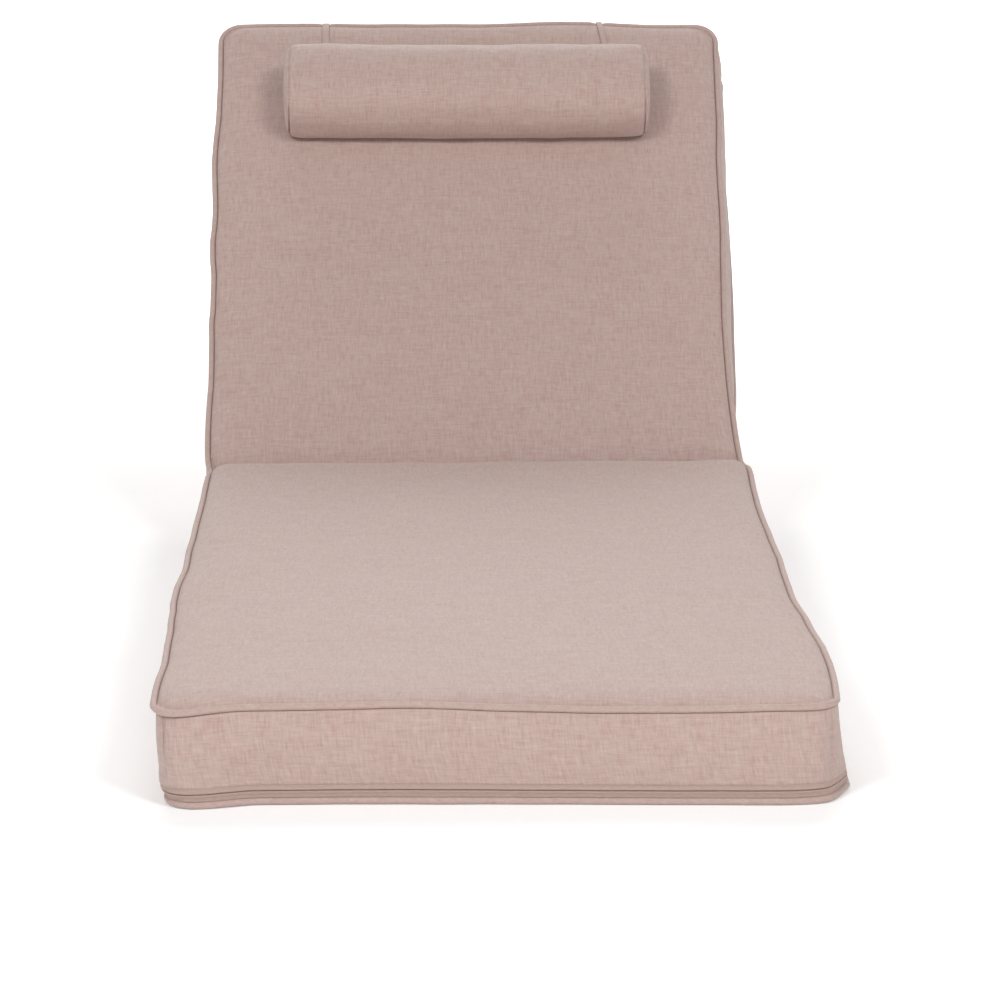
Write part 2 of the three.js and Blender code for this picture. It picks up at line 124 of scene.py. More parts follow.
# How far the piping stands outside the straight side, by distance from the foot. Millimetres.
SIDE_WAVES = WaveTable(
    (Column.LEFT, Column.RIGHT),
    (
        (0, 0.5, 0), (100, 1, 5), (194, -1.8, 8.1), (238, -0.9, 7.7),
        (285, 0.1, 5.6), (332, 0, 3.9), (380, 1.6, 3.2), (428, 2.4, 0.4),
        (478, 4.2, -1.2), (540, 4.2, -0.5), (590, 2.4, 0.1), (645, 0.8, 1.0),
        (698, 0.6, 2.2), (745, 0.5, 2.1), (802, 0.1, 1.1), (860, -0.3, 1.5),
        (920, -0.6, 2.1), (982, -0.8, 2.8), (1045, -0.8, 4.7), (1110, -0.6, 6.8),
        (1200, -0.3, 9.4), (1236, -2.4, 9.4), (1248, -1.6, 6.3), (1258, 0.4, 1.8),
        (1268, 1.5, 0.6), (1300, 2.3, -2.6), (1330, 2.4, -4.9), (1355, 1.9, -6.6),
        (1382, 0.8, -7.6), (1440, 1.0, -8.0), (1468, 1.8, -8.2), (1500, 0.7, -7.9),
        (1540, 0.7, -6.9), (1578, 3.2, -6.0), (1600, 3.5, -5.2), (1622, 1.8, -4.5),
        (1650, 0.9, -4.3), (1690, 2.3, -4.6), (1730, 3.7, -4.9), (1765, 2.3, -3.0),
        (1800, -0.3, -1.5), (1850, -1.1, -1.2), (1900, -0.3, -1.0), (1950, 0, 0.5),
    ),
)
# How far the underside stands to the right of the top seam, and how far that seam is lifted on the right,
# by distance from the foot. Millimetres.
SIDE_LIE = WaveTable(
    (Column.UNDERSIDE, Column.RIGHT_LIFT),
    (
        (0, 15, 0), (150, 7, 0), (300, 3, 0), (450, 0.7, 0),
        (600, 0, 0), (1160, 0, 0), (1215, 0, 2.6), (1246, 0, 3.2),
        (1262, 0, 1.2), (1285, 0.5, 0), (1330, 3, 0), (1362, 5.5, 0),
        (1392, 9.8, 0), (1420, 13.4, 0), (1445, 14.8, 0), (1500, 15.8, 0),
        (1540, 15.8, 0), (1637, 14.5, 0), (1700, 13.8, 0), (1735, 13.2, 0),
        (1765, 11.4, 0), (1850, 11.4, 0), (1898, 11, 0), (1950, 14, 0),
    ),
)
# How far the head edge and the two seams of the foot edge stand outside their straight lines, across the
# width, and how far the two seams of the foot edge stand above their even heights. Millimetres.
END_WAVES = WaveTable(
    (Column.HEAD, Column.FOOT_TOP, Column.FOOT_BOTTOM, Column.FOOT_SEAM, Column.FOOT_LIFT),
    (
        (-320, 5, 0, 14, -8, 0), (-288, 6, 0, 11, -5.5, 0), (-265, 6.5, -3, 4, -3.4, 0),
        (-240, 6.6, -6, -3.5, -2, 0), (-206, 7.5, -7.4, -4.8, -1.6, 0), (-150, 6, -9, -5, -1, 0),
        (-80, 6, -10, -3, -0.5, 0), (0, 6, -10, -1.5, -3.5, 0), (55, 7, -9.6, 0.5, -5.2, 0),
        (100, 9.6, -9, 2.5, -6.5, 0), (160, 8.9, -6, 5, -6.2, 0), (200, 6, -3.6, 6, -5, 0),
        (260, 3.8, 0, 8, -3, 0), (284, 4.4, 0, 4, -2.8, 0), (300, 4.2, 0, -3, -2.6, 0.3),
        (309, 4, 0, -16, -2.6, 0.8), (316, 3.7, 0, -31, -2.5, 1.5), (321, 3.5, 0, -42, -2.5, 2),
    ),
)


@dataclass(frozen=True)
class Waves:
    """A smooth uneven lie of cloth, along a line or over a surface.

    Attributes:
        height: about how far it goes to either side of zero.
        seed: number that fixes the random draws.
        shortest: shortest wavelength.
        longest: longest wavelength.
        count: how many cosines are summed.
    """

    height: float
    seed: int
    shortest: float
    longest: float
    count: int = 9

    def over(self, *places: Array) -> Array:
        """The lie at many places: the height times the sum of the cosines over the root of their number.

        The wavelengths lie between the shortest and the longest, and directions and phases are random.

        Args:
            places: one array for each coordinate, in metres.

        Returns:
            The values, in the shape of the coordinates.
        """
        draw = np.random.default_rng(self.seed)
        length = np.exp(draw.uniform(np.log(self.shortest), np.log(self.longest), self.count))
        heading = draw.normal(size=(self.count, len(places)))
        heading /= np.linalg.norm(heading, axis=1)[:, None]
        phase = draw.uniform(0, 2 * np.pi, self.count)
        stacked = np.stack(np.broadcast_arrays(*places), axis=-1)
        turns = 2 * np.pi * (stacked @ (heading / length[:, None]).T) + phase
        return self.height * (np.cos(turns).sum(axis=-1) / math.sqrt(self.count))


def quarter_round(share: Array) -> Array:
    """Rises from 0 to 1 as a quarter circle and then stays there: the root of 1 - (1 - share)²."""
    return np.sqrt(1 - (1 - np.clip(share, 0, 1)) ** 2)


def hump(distance: Array, width: float) -> Array:
    """A bell curve of height 1: e to the minus (distance / width)²."""
    return np.exp(-((distance / width) ** 2))


@dataclass
class Surface:
    """A mesh made from whole arrays.

    Attributes:
        points: places of the vertices, one row each, in metres.
        cloth: places of the same vertices on the flat cloth, in metres.
        quads: four vertex numbers for each face, anticlockwise from outside.
        caps: many-sided faces that close the ends, as rows of vertex numbers.
        loop: length after which the cloth's two coordinates start again; infinite where they don't.
    """

    points: Array
    cloth: Array
    quads: Array
    caps: list[list[int]] = field(default_factory=list)
    loop: tuple[float, float] = (math.inf, math.inf)

    @classmethod
    def joined(cls, parts: list["Surface"]) -> "Surface":
        """Several surfaces as one, side by side.

        Args:
            parts: the surfaces.

        Returns:
            The one surface, in which they stay separate.
        """
        first = np.cumsum([0] + [len(part.points) for part in parts])
        caps = [[int(start) + k for k in cap] for part, start in zip(parts, first) for cap in part.caps]
        return cls(
            points=np.concatenate([part.points for part in parts]),
            cloth=np.concatenate([part.cloth for part in parts]),
            quads=np.concatenate([part.quads + start for part, start in zip(parts, first)]),
            caps=caps,
        )

    def corner_map(self) -> Array:
        """Cloth places of the corners of all faces; a face across the join of a loop is unrolled.

        Returns:
            One row of two coordinates for each corner, in the order of the faces.
        """
        corners = self.cloth[self.quads]
        for axis, length in enumerate(self.loop):
            value = corners[:, :, axis]
            crossing = (np.ptp(value, axis=1) > length / 2)[:, None]
            corners[:, :, axis] = np.where(crossing & (value < length / 2), value + length, value)
        flat = [corners.reshape(-1, 2)] + [self.cloth[cap] for cap in self.caps]
        return np.concatenate(flat)

    def make(self, name: str, material: bpy.types.Material) -> bpy.types.Object:
        """Puts the surface in the scene as a smooth-shaded object at the origin.

        Args:
            name: name of the piece.
            material: its one material.

        Returns:
            The new object.
        """
        mesh = bpy.data.meshes.new(name)
        mesh.from_pydata(self.points.tolist(), [], self.quads.tolist() + self.caps)
        layer = mesh.uv_layers.new(name=CLOTH_MAP)
        layer.data.foreach_set("uv", self.corner_map().astype(np.float32).ravel())
        mesh.polygons.foreach_set("use_smooth", np.ones(len(mesh.polygons), bool))
        mesh.materials.append(material)
        mesh.validate()
        made = bpy.data.objects.new(name, mesh)
        bpy.context.scene.collection.objects.link(made)
        log.info("%s: %d faces", name, len(mesh.polygons))
        return made


def grid_quads(index: Array, around: bool = False, along: bool = False, flip: bool = False) -> Array:
    """Faces between the neighbours of a grid of vertex numbers.

    Args:
        index: vertex numbers, rows by columns.
        around: whether the last column joins the first.
        along: whether the last row joins the first.
        flip: whether the faces are turned over.

    Returns:
        Four vertex numbers for each face.
    """
    if around:
        index = np.concatenate([index, index[:, :1]], axis=1)
    if along:
        index = np.concatenate([index, index[:1]], axis=0)
    corners = [index[:-1, :-1], index[1:, :-1], index[1:, 1:], index[:-1, 1:]]
    quads = np.stack(corners, axis=-1).reshape(-1, 4)
    return quads[:, ::-1] if flip else quads


def number(rows: int, columns: int, first: int = 0) -> Array:
    """Vertex numbers of a grid of so many rows and columns, counted from the first."""
    return first + np.arange(rows * columns).reshape(rows, columns)


def laid_out(u: Array, v: Array) -> Array:
    """Cloth places of a whole grid from its two cloth coordinates, one row for each place."""
    return np.stack(np.broadcast_arrays(u, v), axis=-1).reshape(-1, 2)


def band(points: Array, u: Array, v: Array) -> Surface:
    """A section carried along a line, with its two ends capped.

    Args:
        points: places of the section's corners, with one row of them for each station.
        u: their first cloth coordinate.
        v: their second cloth coordinate.

    Returns:
        The closed band.
    """
    index = number(*points.shape[:2])
    return Surface(
        points=points.reshape(-1, 3),
        cloth=laid_out(u, v),
        quads=grid_quads(index, around=True),
        caps=[index[0].tolist(), index[-1, ::-1].tolist()],
    )


@dataclass(frozen=True)
class GridLines:
    """Lines of the grid across or along the cushion. A corner line has a share of the corner's radius.

    Attributes:
        core: where each line lies, or for a corner line the centre of its corner.
        out: -1 or 1 for the corner lines of the low or the high edge, and 0 for the rest.
        share: 0 at the corner's centre and 1 on the seam.
    """

    core: Array
    out: Array
    share: Array

    @classmethod
    def spread(cls, low: float, high: float, radius: float, between: Array) -> "GridLines":
        """Lines from one seam to the other, close together beside the seams.

        Args:
            low: place of the low seam.
            high: place of the high seam.
            radius: radius of the corners.
            between: places of the lines between the corners.

        Returns:
            The lines in order.
        """
        share = 1 - BESIDE_SEAM / BESIDE_SEAM[-1]
        many, none = np.ones(len(share)), np.zeros(len(between))
        return cls(
            core=np.concatenate([many * (low + radius), between, many * (high - radius)]),
            out=np.concatenate([-many, none, many]),
            share=np.concatenate([share, none, share[::-1]]),
        )

    def take(self, chosen: Array) -> "GridLines":
        """The lines of those numbers, in the shape of the numbers."""
        return GridLines(self.core[chosen], self.out[chosen], self.share[chosen])


@dataclass(frozen=True)
class CushionShape:
    """The sizes of the cushion, and the way from its flat pattern to its bent form.

    The cloth coordinates of the flat cushion are x across, s from the foot edge to the head edge, and
    the height above the underside.

    Attributes:
        seat_length: foot edge to fold.
        back_length: fold to head edge.
        width: over both pipings.
        fold_angle: how far the back section is raised.
        corner_radius: radius of the seam line at the four corners.
        top_piping: radius of the top piping.
        bottom_piping: radius of the bottom piping.
        top_seam: height of the top seam.
        bottom_seam: height of the bottom seam.
        panel_rise: how far the top panel stands above its seam, inside its shoulders.
        shoulder: width of the rounded shoulders along the seams.
        crown: how much higher the middle of each section is.
        fold_shoulder: width of the shoulders beside the fold.
        fold_channel: depth of the channel at the fold.
        fold_spread: width of that channel.
        crest: height of the crest that the bent seat section has in front of the fold.
        crest_from_fold: how far from the fold it lies.
        crest_spread: half its width.
        crest_reach: how far from the fold the side shoulders are narrower.
        crest_squareness: share that they are narrower by.
        mitre_spread: how far beside the fold the cushion is pressed together.
        heel_radius: radius of the rounded underside below the fold.
        end_depth: how far in the waves of the foot edge and the head edge go.
        fold_pinch: how far the boxing is drawn in at the fold.
        fold_pinch_spread: how far beside the fold that goes.
        side_wobble: finer waves of the sides.
        end_wobble: finer waves of the foot edge and the head edge.
        lift_wobble: finer waves of the seams' heights.
        sides_apart: shift between the waves of the two sides, so that they differ.
        wobble_depth: how much of the side waves' second coordinate the boxing spans.
    """

    seat_length: float = 1250 * MM
    back_length: float = 700 * MM
    width: float = 650 * MM
    fold_angle: float = math.radians(45)
    corner_radius: float = 27 * MM
    top_piping: float = 3.3 * MM
    bottom_piping: float = 3.2 * MM
    top_seam: float = 95 * MM
    bottom_seam: float = 3.6 * MM
    panel_rise: float = 10 * MM
    shoulder: float = 31 * MM
    crown: float = 4 * MM
    fold_shoulder: float = 27 * MM
    fold_channel: float = 4 * MM
    fold_spread: float = 30 * MM
    crest: float = 4.6 * MM
    crest_from_fold: float = 32 * MM
    crest_spread: float = 42 * MM
    crest_reach: float = 95 * MM
    crest_squareness: float = 0.4
    mitre_spread: float = 220 * MM
    heel_radius: float = 100 * MM
    end_depth: float = 150 * MM
    fold_pinch: float = 5 * MM
    fold_pinch_spread: float = 20 * MM
    side_wobble: Waves = Waves(0.35 * MM, 11, 0.12, 0.4)
    end_wobble: Waves = Waves(0.35 * MM, 12, 0.05, 0.2)
    lift_wobble: Waves = Waves(0.35 * MM, 13, 0.12, 0.4)
    sides_apart: float = 3.0
    wobble_depth: float = 0.2

    @property
    def length(self) -> float:
        """Seat section and back section together."""
        return self.seat_length + self.back_length

    @property
    def half_seam(self) -> float:
        """From the middle to the seam line of a side."""
        return self.width / 2 - self.top_piping

    def across(self, step: float) -> GridLines:
        """Grid lines across the width, about a step apart.

        Args:
            step: distance between lines.

        Returns:
            The lines from left to right.
        """
        reach = self.half_seam - self.corner_radius
        count = round(2 * reach / step)
        between = np.linspace(-reach, reach, count + 1)[1:-1]
        return GridLines.spread(-self.half_seam, self.half_seam, self.corner_radius, between)

    def along(self, step: float) -> GridLines:
        """Grid lines from foot to head, about a step apart and closer beside the fold.

        Args:
            step: distance between lines.

        Returns:
            The lines in order.
        """
        fold = self.seat_length + np.concatenate([-BESIDE_FOLD[::-1], [0], BESIDE_FOLD])
        low = self.top_piping + self.corner_radius
        high = self.length - self.top_piping - self.corner_radius
        seat = np.linspace(low, fold[0], round((fold[0] - low) / step) + 1)[1:-1]
        back = np.linspace(fold[-1], high, round((high - fold[-1]) / step) + 1)[1:-1]
        between = np.concatenate([seat, fold, back])
        return GridLines.spread(self.top_piping, self.length - self.top_piping, self.corner_radius, between)

    def plan(self, a: GridLines, b: GridLines, inset: Array | float) -> tuple[Array, Array]:
        """Grid places to plan places on the outline that runs an inset inside the seam.

        A corner square is mapped to a quarter disc: a √(1 - b²/2) by b √(1 - a²/2), times its radius.

        Args:
            a: lines across, one for each place.
            b: lines along, one for each place.
            inset: distance inside the seam line.

        Returns:
            Arrays of x and of s.
        """
        radius = self.corner_radius - inset
        x = a.core + a.out * a.share * radius * np.sqrt(1 - b.share**2 / 2)
        s = b.core + b.out * b.share * radius * np.sqrt(1 - a.share**2 / 2)
        return x, s

    def flat(
        self, a: GridLines, b: GridLines, inset: Array | float, height: Array | float, pinch: float = 0.0
    ) -> tuple[Array, Array, Array]:
        """A place of the flat cushion, with the waves of the seam line beside it added.

        Each wave fades inwards by a power of the share of the way out. The finer waves have the higher
        powers, so they stay near the seams.

        Args:
            a: lines across, one for each place.
            b: lines along, one for each place.
            inset: distance inside the seam line.
            height: distance above the underside.
            pinch: how far the boxing is drawn in beside the fold.

        Returns:
            Arrays of x, s and height.
        """
        x, s = self.plan(a, b, 0.0)
        inset_x, inset_s = self.plan(a, b, inset)
        up = height / self.top_seam
        level = np.minimum(up, 1)
        reach = np.abs(x) / self.half_seam
        rightward = np.clip(x / self.half_seam, 0, 1)
        headward = np.clip(1 - (self.length - s) / self.end_depth, 0, 1)
        footward = np.clip(1 - s / self.end_depth, 0, 1)

        edge = np.where(x < 0, SIDE_WAVES.read(s, Column.LEFT), SIDE_WAVES.read(s, Column.RIGHT))
        wobble = self.side_wobble.over(s + self.sides_apart * np.sign(x), up * self.wobble_depth)
        side = np.sign(x) * (edge * reach**2 + wobble * reach**6)
        fading = np.where(s > self.seat_length, 1, 2)
        shift = SIDE_LIE.read(s, Column.UNDERSIDE) * np.clip(1 - up, 0, 1) ** fading
        drawn_in = pinch * np.sign(x) * hump(s - self.seat_length, self.fold_pinch_spread) * level

        low, high = END_WAVES.read(x, Column.FOOT_BOTTOM), END_WAVES.read(x, Column.FOOT_TOP)
        foot = low + (high - low) * up
        ends = END_WAVES.read(x, Column.HEAD) * headward**2 - foot * footward**2
        ends = ends + self.end_wobble.over(x, s) * (headward**8 - footward**8)

        lift = self.lift_wobble.over(x, s) * np.maximum(reach, footward) ** 6 * level
        lift = lift + END_WAVES.read(x, Column.FOOT_SEAM) * footward**4 * level
        lift = lift + END_WAVES.read(x, Column.FOOT_LIFT) * footward**3 * (1 - level)
        lift = lift + SIDE_LIE.read(s, Column.RIGHT_LIFT) * rightward**8 * level
        return inset_x + side + shift - drawn_in, inset_s + ends, height + lift

    def fold(self, x: Array, s: Array, z: Array) -> Array:
        """Bends the flat cushion: a mitre at the fold, the back section raised, a rounded heel below.

        Under the fold the sharp corner of the underside gives way to an arc of the heel's radius, less so
        higher up. Beside the fold, each section is shortened by the mitre's slope times the depth below
        the top seam, fading out over the mitre's spread.

        Args:
            x: places across.
            s: distances from the foot edge.
            z: heights above the underside.

        Returns:
            Places in the row frame, three coordinates each.
        """
        slope = math.tan(self.fold_angle / 2)
        from_fold = s - self.seat_length
        depth = self.top_seam - z
        giving = np.clip(1 - np.abs(from_fold) / self.mitre_spread, 0, 1)
        mitre = slope * depth * giving
        tangent = self.heel_radius * slope
        to_corner = np.abs(from_fold) + slope * self.top_seam * (1 - giving)
        turn = self.fold_angle / 2 * np.clip(1 - to_corner / tangent, 0, 1)
        under = np.clip(depth / self.top_seam, 0, 1) ** 2
        shorten = np.where(turn > 0, (tangent - to_corner - self.heel_radius * np.sin(turn)) * under, 0)
        lift = self.heel_radius * (1 - np.cos(turn)) * under
        seat = np.stack([x, s - self.seat_length / 2 + mitre - shorten, z + lift], axis=-1)
        back = self.raise_back(x, from_fold - mitre + shorten, lift - depth)
        return np.where((from_fold <= 0)[..., None], seat, back)

    def raise_back(self, x: Array, along: Array, out: Array) -> Array:
        """Places in the frame of the back section, turned up about the fold at seam height.

        Args:
            x: places across.
            along: distances up the slope from the fold.
            out: heights above the seam, square to the slope.

        Returns:
            Places in the row frame, three coordinates each.
        """
        c, n = math.cos(self.fold_angle), math.sin(self.fold_angle)
        x, along, out = np.broadcast_arrays(x, along, out)
        y = self.seat_length / 2 + along * c - out * n
        return np.stack([x, y, self.top_seam + along * n + out * c], axis=-1)

    def panel_height(self, x: Array, s: Array, notch: float) -> Array:
        """Height of the top panel above its seam.

        The shoulders at the seam and at the fold are quarter-round, with rounded corners. Each section has
        a low crown, the seat section a crest in front of the fold, and the fold a shallow channel.

        Args:
            x: plan places across.
            s: plan distances from the foot edge.
            notch: inset of the panel's edge.

        Returns:
            The heights.
        """
        from_side = self.half_seam - notch - np.abs(x)
        from_end = np.minimum(s, self.length - s) - self.top_piping - notch
        from_fold = np.abs(s - self.seat_length)
        on_seat = s < self.seat_length
        by_crest = hump(from_fold, self.crest_reach) * on_seat
        side_shoulder = self.shoulder * (1 - self.crest_squareness * by_crest)
        short = [1 - np.clip(from_side / side_shoulder, 0, 1), 1 - np.clip(from_end / self.shoulder, 0, 1)]
        short_fold = 1 - np.clip(from_fold / self.fold_shoulder, 0, 1)
        half = np.where(on_seat, self.seat_length / 2, self.back_length / 2)
        middle = np.where(on_seat, self.seat_length / 2, self.seat_length + self.back_length / 2)
        crown = self.crown * (1 - (x / self.half_seam) ** 2) * (1 - ((s - middle) / half) ** 2)
        crest = self.crest * hump(from_fold - self.crest_from_fold, self.crest_spread) * on_seat
        edges = quarter_round(1 - np.hypot(*short))
        channel = self.fold_channel * hump(from_fold, self.fold_spread) * edges
        rounded = quarter_round(1 - np.sqrt(short[0] ** 2 + short[1] ** 2 + short_fold**2))
        return rounded * (self.panel_rise + crown + crest + channel) - channel


def outline(a: GridLines, b: GridLines) -> tuple[Array, Array]:
    """Numbers of the lines whose crossings make the outline, anticlockwise from above.

    Args:
        a: lines across.
        b: lines along.

    Returns:
        Numbers of the lines across and along, one of each for each crossing.
    """
    last_a, last_b = len(a.core) - 1, len(b.core) - 1
    i, j = np.arange(last_a), np.arange(last_b)
    across = np.concatenate([i, np.full(last_b, last_a), last_a - i, np.zeros(last_b, int)])
    along = np.concatenate([np.zeros(last_a, int), j, np.full(last_a, last_b), last_b - j])
    return across, along


def arc_length(points: Array, closed: bool) -> tuple[Array, float]:
    """Distance along a line of points from its first.

    Args:
        points: places in order.
        closed: whether the last joins the first.

    Returns:
        The distance at each point, and the whole length.
    """
    follow = np.roll(points, -1, axis=0) if closed else points[1:]
    steps = np.linalg.norm(follow - points[: len(follow)], axis=1)
    total = float(steps.sum())
    at = np.concatenate([[0], np.cumsum(steps)])[: len(points)]
    return at, total


@dataclass(frozen=True)
class Filling:
    """A short cloth simulation, in which the filling presses a sewn cover out from inside.

    Attributes:
        pressure: pressure of the filling.
        frames: frames that it runs.
        most: how far a point may move.
        held: freedom below which a point is held.
    """

    pressure: float = 4.0
    frames: int = 20
    most: float = 2.5 * MM
    held: float = 0.02

    def settle(self, piece: bpy.types.Object, free: Array) -> None:
        """Presses a cover out between its seams, and leaves the result in its mesh.

        A move m becomes most · tanh(m / most), times how free the point is.

        Args:
            piece: the closed cover, which keeps its number of points.
            free: how free each point is, from 0 where it is sewn or lies on something to 1.
        """
        mesh, scene = piece.data, bpy.context.scene
        rest = np.empty(3 * len(mesh.vertices), np.float32)
        mesh.vertices.foreach_get("co", rest)
        sewn = piece.vertex_groups.new(name="sewn")
        sewn.add(np.flatnonzero(free < self.held).tolist(), 1.0, "REPLACE")
        cloth = piece.modifiers.new("filling", "CLOTH")
        cloth.settings.use_pressure = True
        cloth.settings.uniform_pressure_force = self.pressure
        cloth.settings.effector_weights.gravity = 0
        cloth.settings.vertex_group_mass = sewn.name
        for moment in range(1, self.frames + 1):
            scene.frame_set(moment)
        pressed = np.empty_like(rest)
        piece.evaluated_get(bpy.context.evaluated_depsgraph_get()).data.vertices.foreach_get("co", pressed)
        piece.modifiers.remove(cloth)
        piece.vertex_groups.remove(sewn)
        scene.frame_set(1)
        move = (pressed - rest).reshape(-1, 3)
        length = np.linalg.norm(move, axis=1)
        log.info("%s pressed out by up to %.1f mm before the limit", piece.name, length.max() / MM)
        limited = self.most * np.tanh(length / self.most)
        share = np.divide(limited, length, out=np.zeros_like(length), where=length > 0)
        move *= (free * share)[:, None]
        mesh.vertices.foreach_set("co", rest + move.ravel().astype(np.float32))
        mesh.update()


@dataclass(frozen=True)
class Wrinkle:
    """A soft crease in the top panel, in the flat cushion's coordinates.

    Attributes:
        x: middle of the crease across.
        s: middle of the crease from the foot.
        heading: its direction, as an angle from the x axis.
        half_length: half of its length.
        half_width: half of its width.
        height: how far it rises, negative for a trough.
    """

    x: float
    s: float
    heading: float
    half_length: float
    half_width: float
    height: float

    def over(self, x: Array, s: Array) -> Array:
        """Height of the crease at many places: its height times a bell curve along and one across.

        Args:
            x: places across.
            s: distances from the foot edge.

        Returns:
            The heights.
        """
        dx, ds = x - self.x, s - self.s
        along = dx * math.cos(self.heading) + ds * math.sin(self.heading)
        beside = ds * math.cos(self.heading) - dx * math.sin(self.heading)
        return self.height * hump(along, self.half_length) * hump(beside, self.half_width)


@dataclass
class FilledCover:
    """The cushion itself: top panel, boxing and bottom panel over the filling, as one closed surface.

    Attributes:
        shape: the sizes of the cushion.
        step: distance between the grid's lines.
        notch: inset of the top panel's edge.
        lap: how far that edge stands above the seam line.
        end_lap: how far it laps out over the piping at the foot edge.
        end_lift: how much higher it stands there.
        lap_reach: how far in from the edge that lap goes.
        head_share: share of that lap at the head edge.
        bottom_inset: inset of the bottom panel's edge.
        boxing_gaps: from the bottom seam to the lowest ring, and from the highest ring to the top seam.
        boxing_bulge: how far the boxing stands out between its rings.
        bulge_power: power of the bulge's half sine wave; below 1 it is flatter.
        boxing_rings: number of even rings of the boxing.
        behind_bottom: inset and height of each ring behind the bottom piping, in millimetres.
        behind_top: the same behind the top piping.
        hem_height: height of the hem above the zip.
        hem_step: height over which the hem steps out.
        hem_thickness: how far it steps out.
        zip_reach: how far the zip runs along the sides.
        zip_fade: how far before its end the hem fades out.
        calm_height: how far above the hem the boxing is calmer.
        corner_tuck: share of the bulge that the left and the right foot corner lose.
        corner_inset: how far the boxing is drawn in at those two corners.
        seam_inset: how much further it is just below the seam.
        seam_inset_depth: how far down that goes, as a share of the height.
        tuck_reach: how far along the sides all that goes.
        crease_depth: depth of the crease at each corner.
        crease_width: half its width.
        crease_shift: how far round from the corner's middle it lies at the top seam.
        crease_lean: how far it leans, for each unit of height.
        pucker_reach: how far from the side seams the puckers go.
        gather_reach: how far from the fold the gathers go.
        stretch: how little a pucker of the panel changes along its own length.
        boxing_stretch: the same for a pucker of the boxing.
        pucker_depth: how far down the boxing its puckers go, as a share of the height.
        long_waves: soft lie of the top panel.
        short_waves: its finer lie.
        side_puckers: puckers along its side seams.
        fold_gathers: gathers along the fold.
        boxing_waves: soft lie of the boxing.
        boxing_ripples: its finer lie.
        boxing_puckers: puckers below its top seam.
        wrinkles: the creases that the photograph shows.
    """

    shape: CushionShape
    step: float = 6.5 * MM
    notch: float = 3.7 * MM
    lap: float = 0.5 * MM
    end_lap: float = 1.1 * MM
    end_lift: float = 2.1 * MM
    lap_reach: float = 26 * MM
    head_share: float = 0.5
    bottom_inset: float = 7.4 * MM
    boxing_gaps: tuple[float, float] = (6.4 * MM, 5.2 * MM)
    boxing_bulge: float = 4.2 * MM
    bulge_power: float = 0.8
    boxing_rings: int = 20
    behind_bottom: tuple[tuple[float, float], ...] = (
        (5.6, 0.7), (4.5, 2.2), (4.1, 3.8), (3.4, 6.4), (1.6, 8.6),
    )
    behind_top: tuple[tuple[float, float], ...] = ((0.5, 90.9), (1.9, 91.7), (3.0, 92.8), (3.6, 94.0))
    hem_height: float = 19.6 * MM
    hem_step: float = 0.8 * MM
    hem_thickness: float = 1.3 * MM
    zip_reach: float = 150 * MM
    zip_fade: float = 20 * MM
    calm_height: float = 14 * MM
    corner_tuck: tuple[float, float] = (0.75, 0.6)
    corner_inset: tuple[float, float] = (2.7 * MM, 0.0)
    seam_inset: tuple[float, float] = (4.4 * MM, 0.0)
    seam_inset_depth: float = 0.22
    tuck_reach: float = 260 * MM
    crease_depth: float = 2.6 * MM
    crease_width: float = 2.4 * MM
    crease_shift: float = 2.5 * MM
    crease_lean: float = 0.13
    pucker_reach: float = 28 * MM
    gather_reach: float = 30 * MM
    stretch: float = 0.02
    boxing_stretch: float = 0.1
    pucker_depth: float = 0.25
    long_waves: Waves = Waves(0.9 * MM, 21, 0.16, 0.5)
    short_waves: Waves = Waves(0.35 * MM, 22, 0.05, 0.12, 14)
    side_puckers: Waves = Waves(0.45 * MM, 23, 0.018, 0.05, 12)
    fold_gathers: Waves = Waves(0.5 * MM, 24, 0.02, 0.07, 12)
    boxing_waves: Waves = Waves(0.6 * MM, 31, 0.12, 0.4)
    boxing_ripples: Waves = Waves(0.25 * MM, 32, 0.03, 0.08)
    boxing_puckers: Waves = Waves(0.3 * MM, 33, 0.014, 0.04)
    wrinkles: tuple[Wrinkle, ...] = (
        Wrinkle(-0.288, 0.772, math.radians(2), 0.030, 0.0050, -0.9 * MM),
        Wrinkle(-0.284, 0.757, math.radians(-2), 0.034, 0.0050, 0.8 * MM),
        Wrinkle(-0.290, 0.741, math.radians(-3), 0.030, 0.0050, -1.0 * MM),
        Wrinkle(-0.284, 0.722, math.radians(3), 0.032, 0.0060, 0.8 * MM),
        Wrinkle(-0.292, 0.700, math.radians(4), 0.026, 0.0060, -0.8 * MM),
        Wrinkle(0.245, 1.912, math.radians(-32), 0.022, 0.0050, -1.1 * MM),
        Wrinkle(0.236, 1.901, math.radians(-36), 0.026, 0.0060, 1.1 * MM),
    )

    @property
    def boxing_span(self) -> tuple[float, float]:
        """Heights of the lowest and the highest even ring of the boxing."""
        above, below = self.boxing_gaps
        return self.shape.bottom_seam + above, self.shape.top_seam - below

    def near_end(self, s: Array) -> Array:
        """1 at the foot edge, where the panel laps over its piping, less at the head, and 0 between.

        Args:
            s: distances from the foot edge.

        Returns:
            The shares.
        """
        shape = self.shape
        foot = np.clip(1 - (s - shape.top_piping) / self.lap_reach, 0, 1)
        head = np.clip(1 - (shape.length - shape.top_piping - s) / self.lap_reach, 0, 1)
        return foot + self.head_share * head

    def boxing_out(self, height: Array) -> Array:
        """How far the boxing stands out between the seams: its bulge times a flattened half sine wave.

        Args:
            height: heights above the underside.

        Returns:
            The distances outwards.
        """
        low, high = self.boxing_span
        share = np.clip((height - low) / (high - low), 0, 1)
        return self.boxing_bulge * np.sin(np.pi * share) ** self.bulge_power

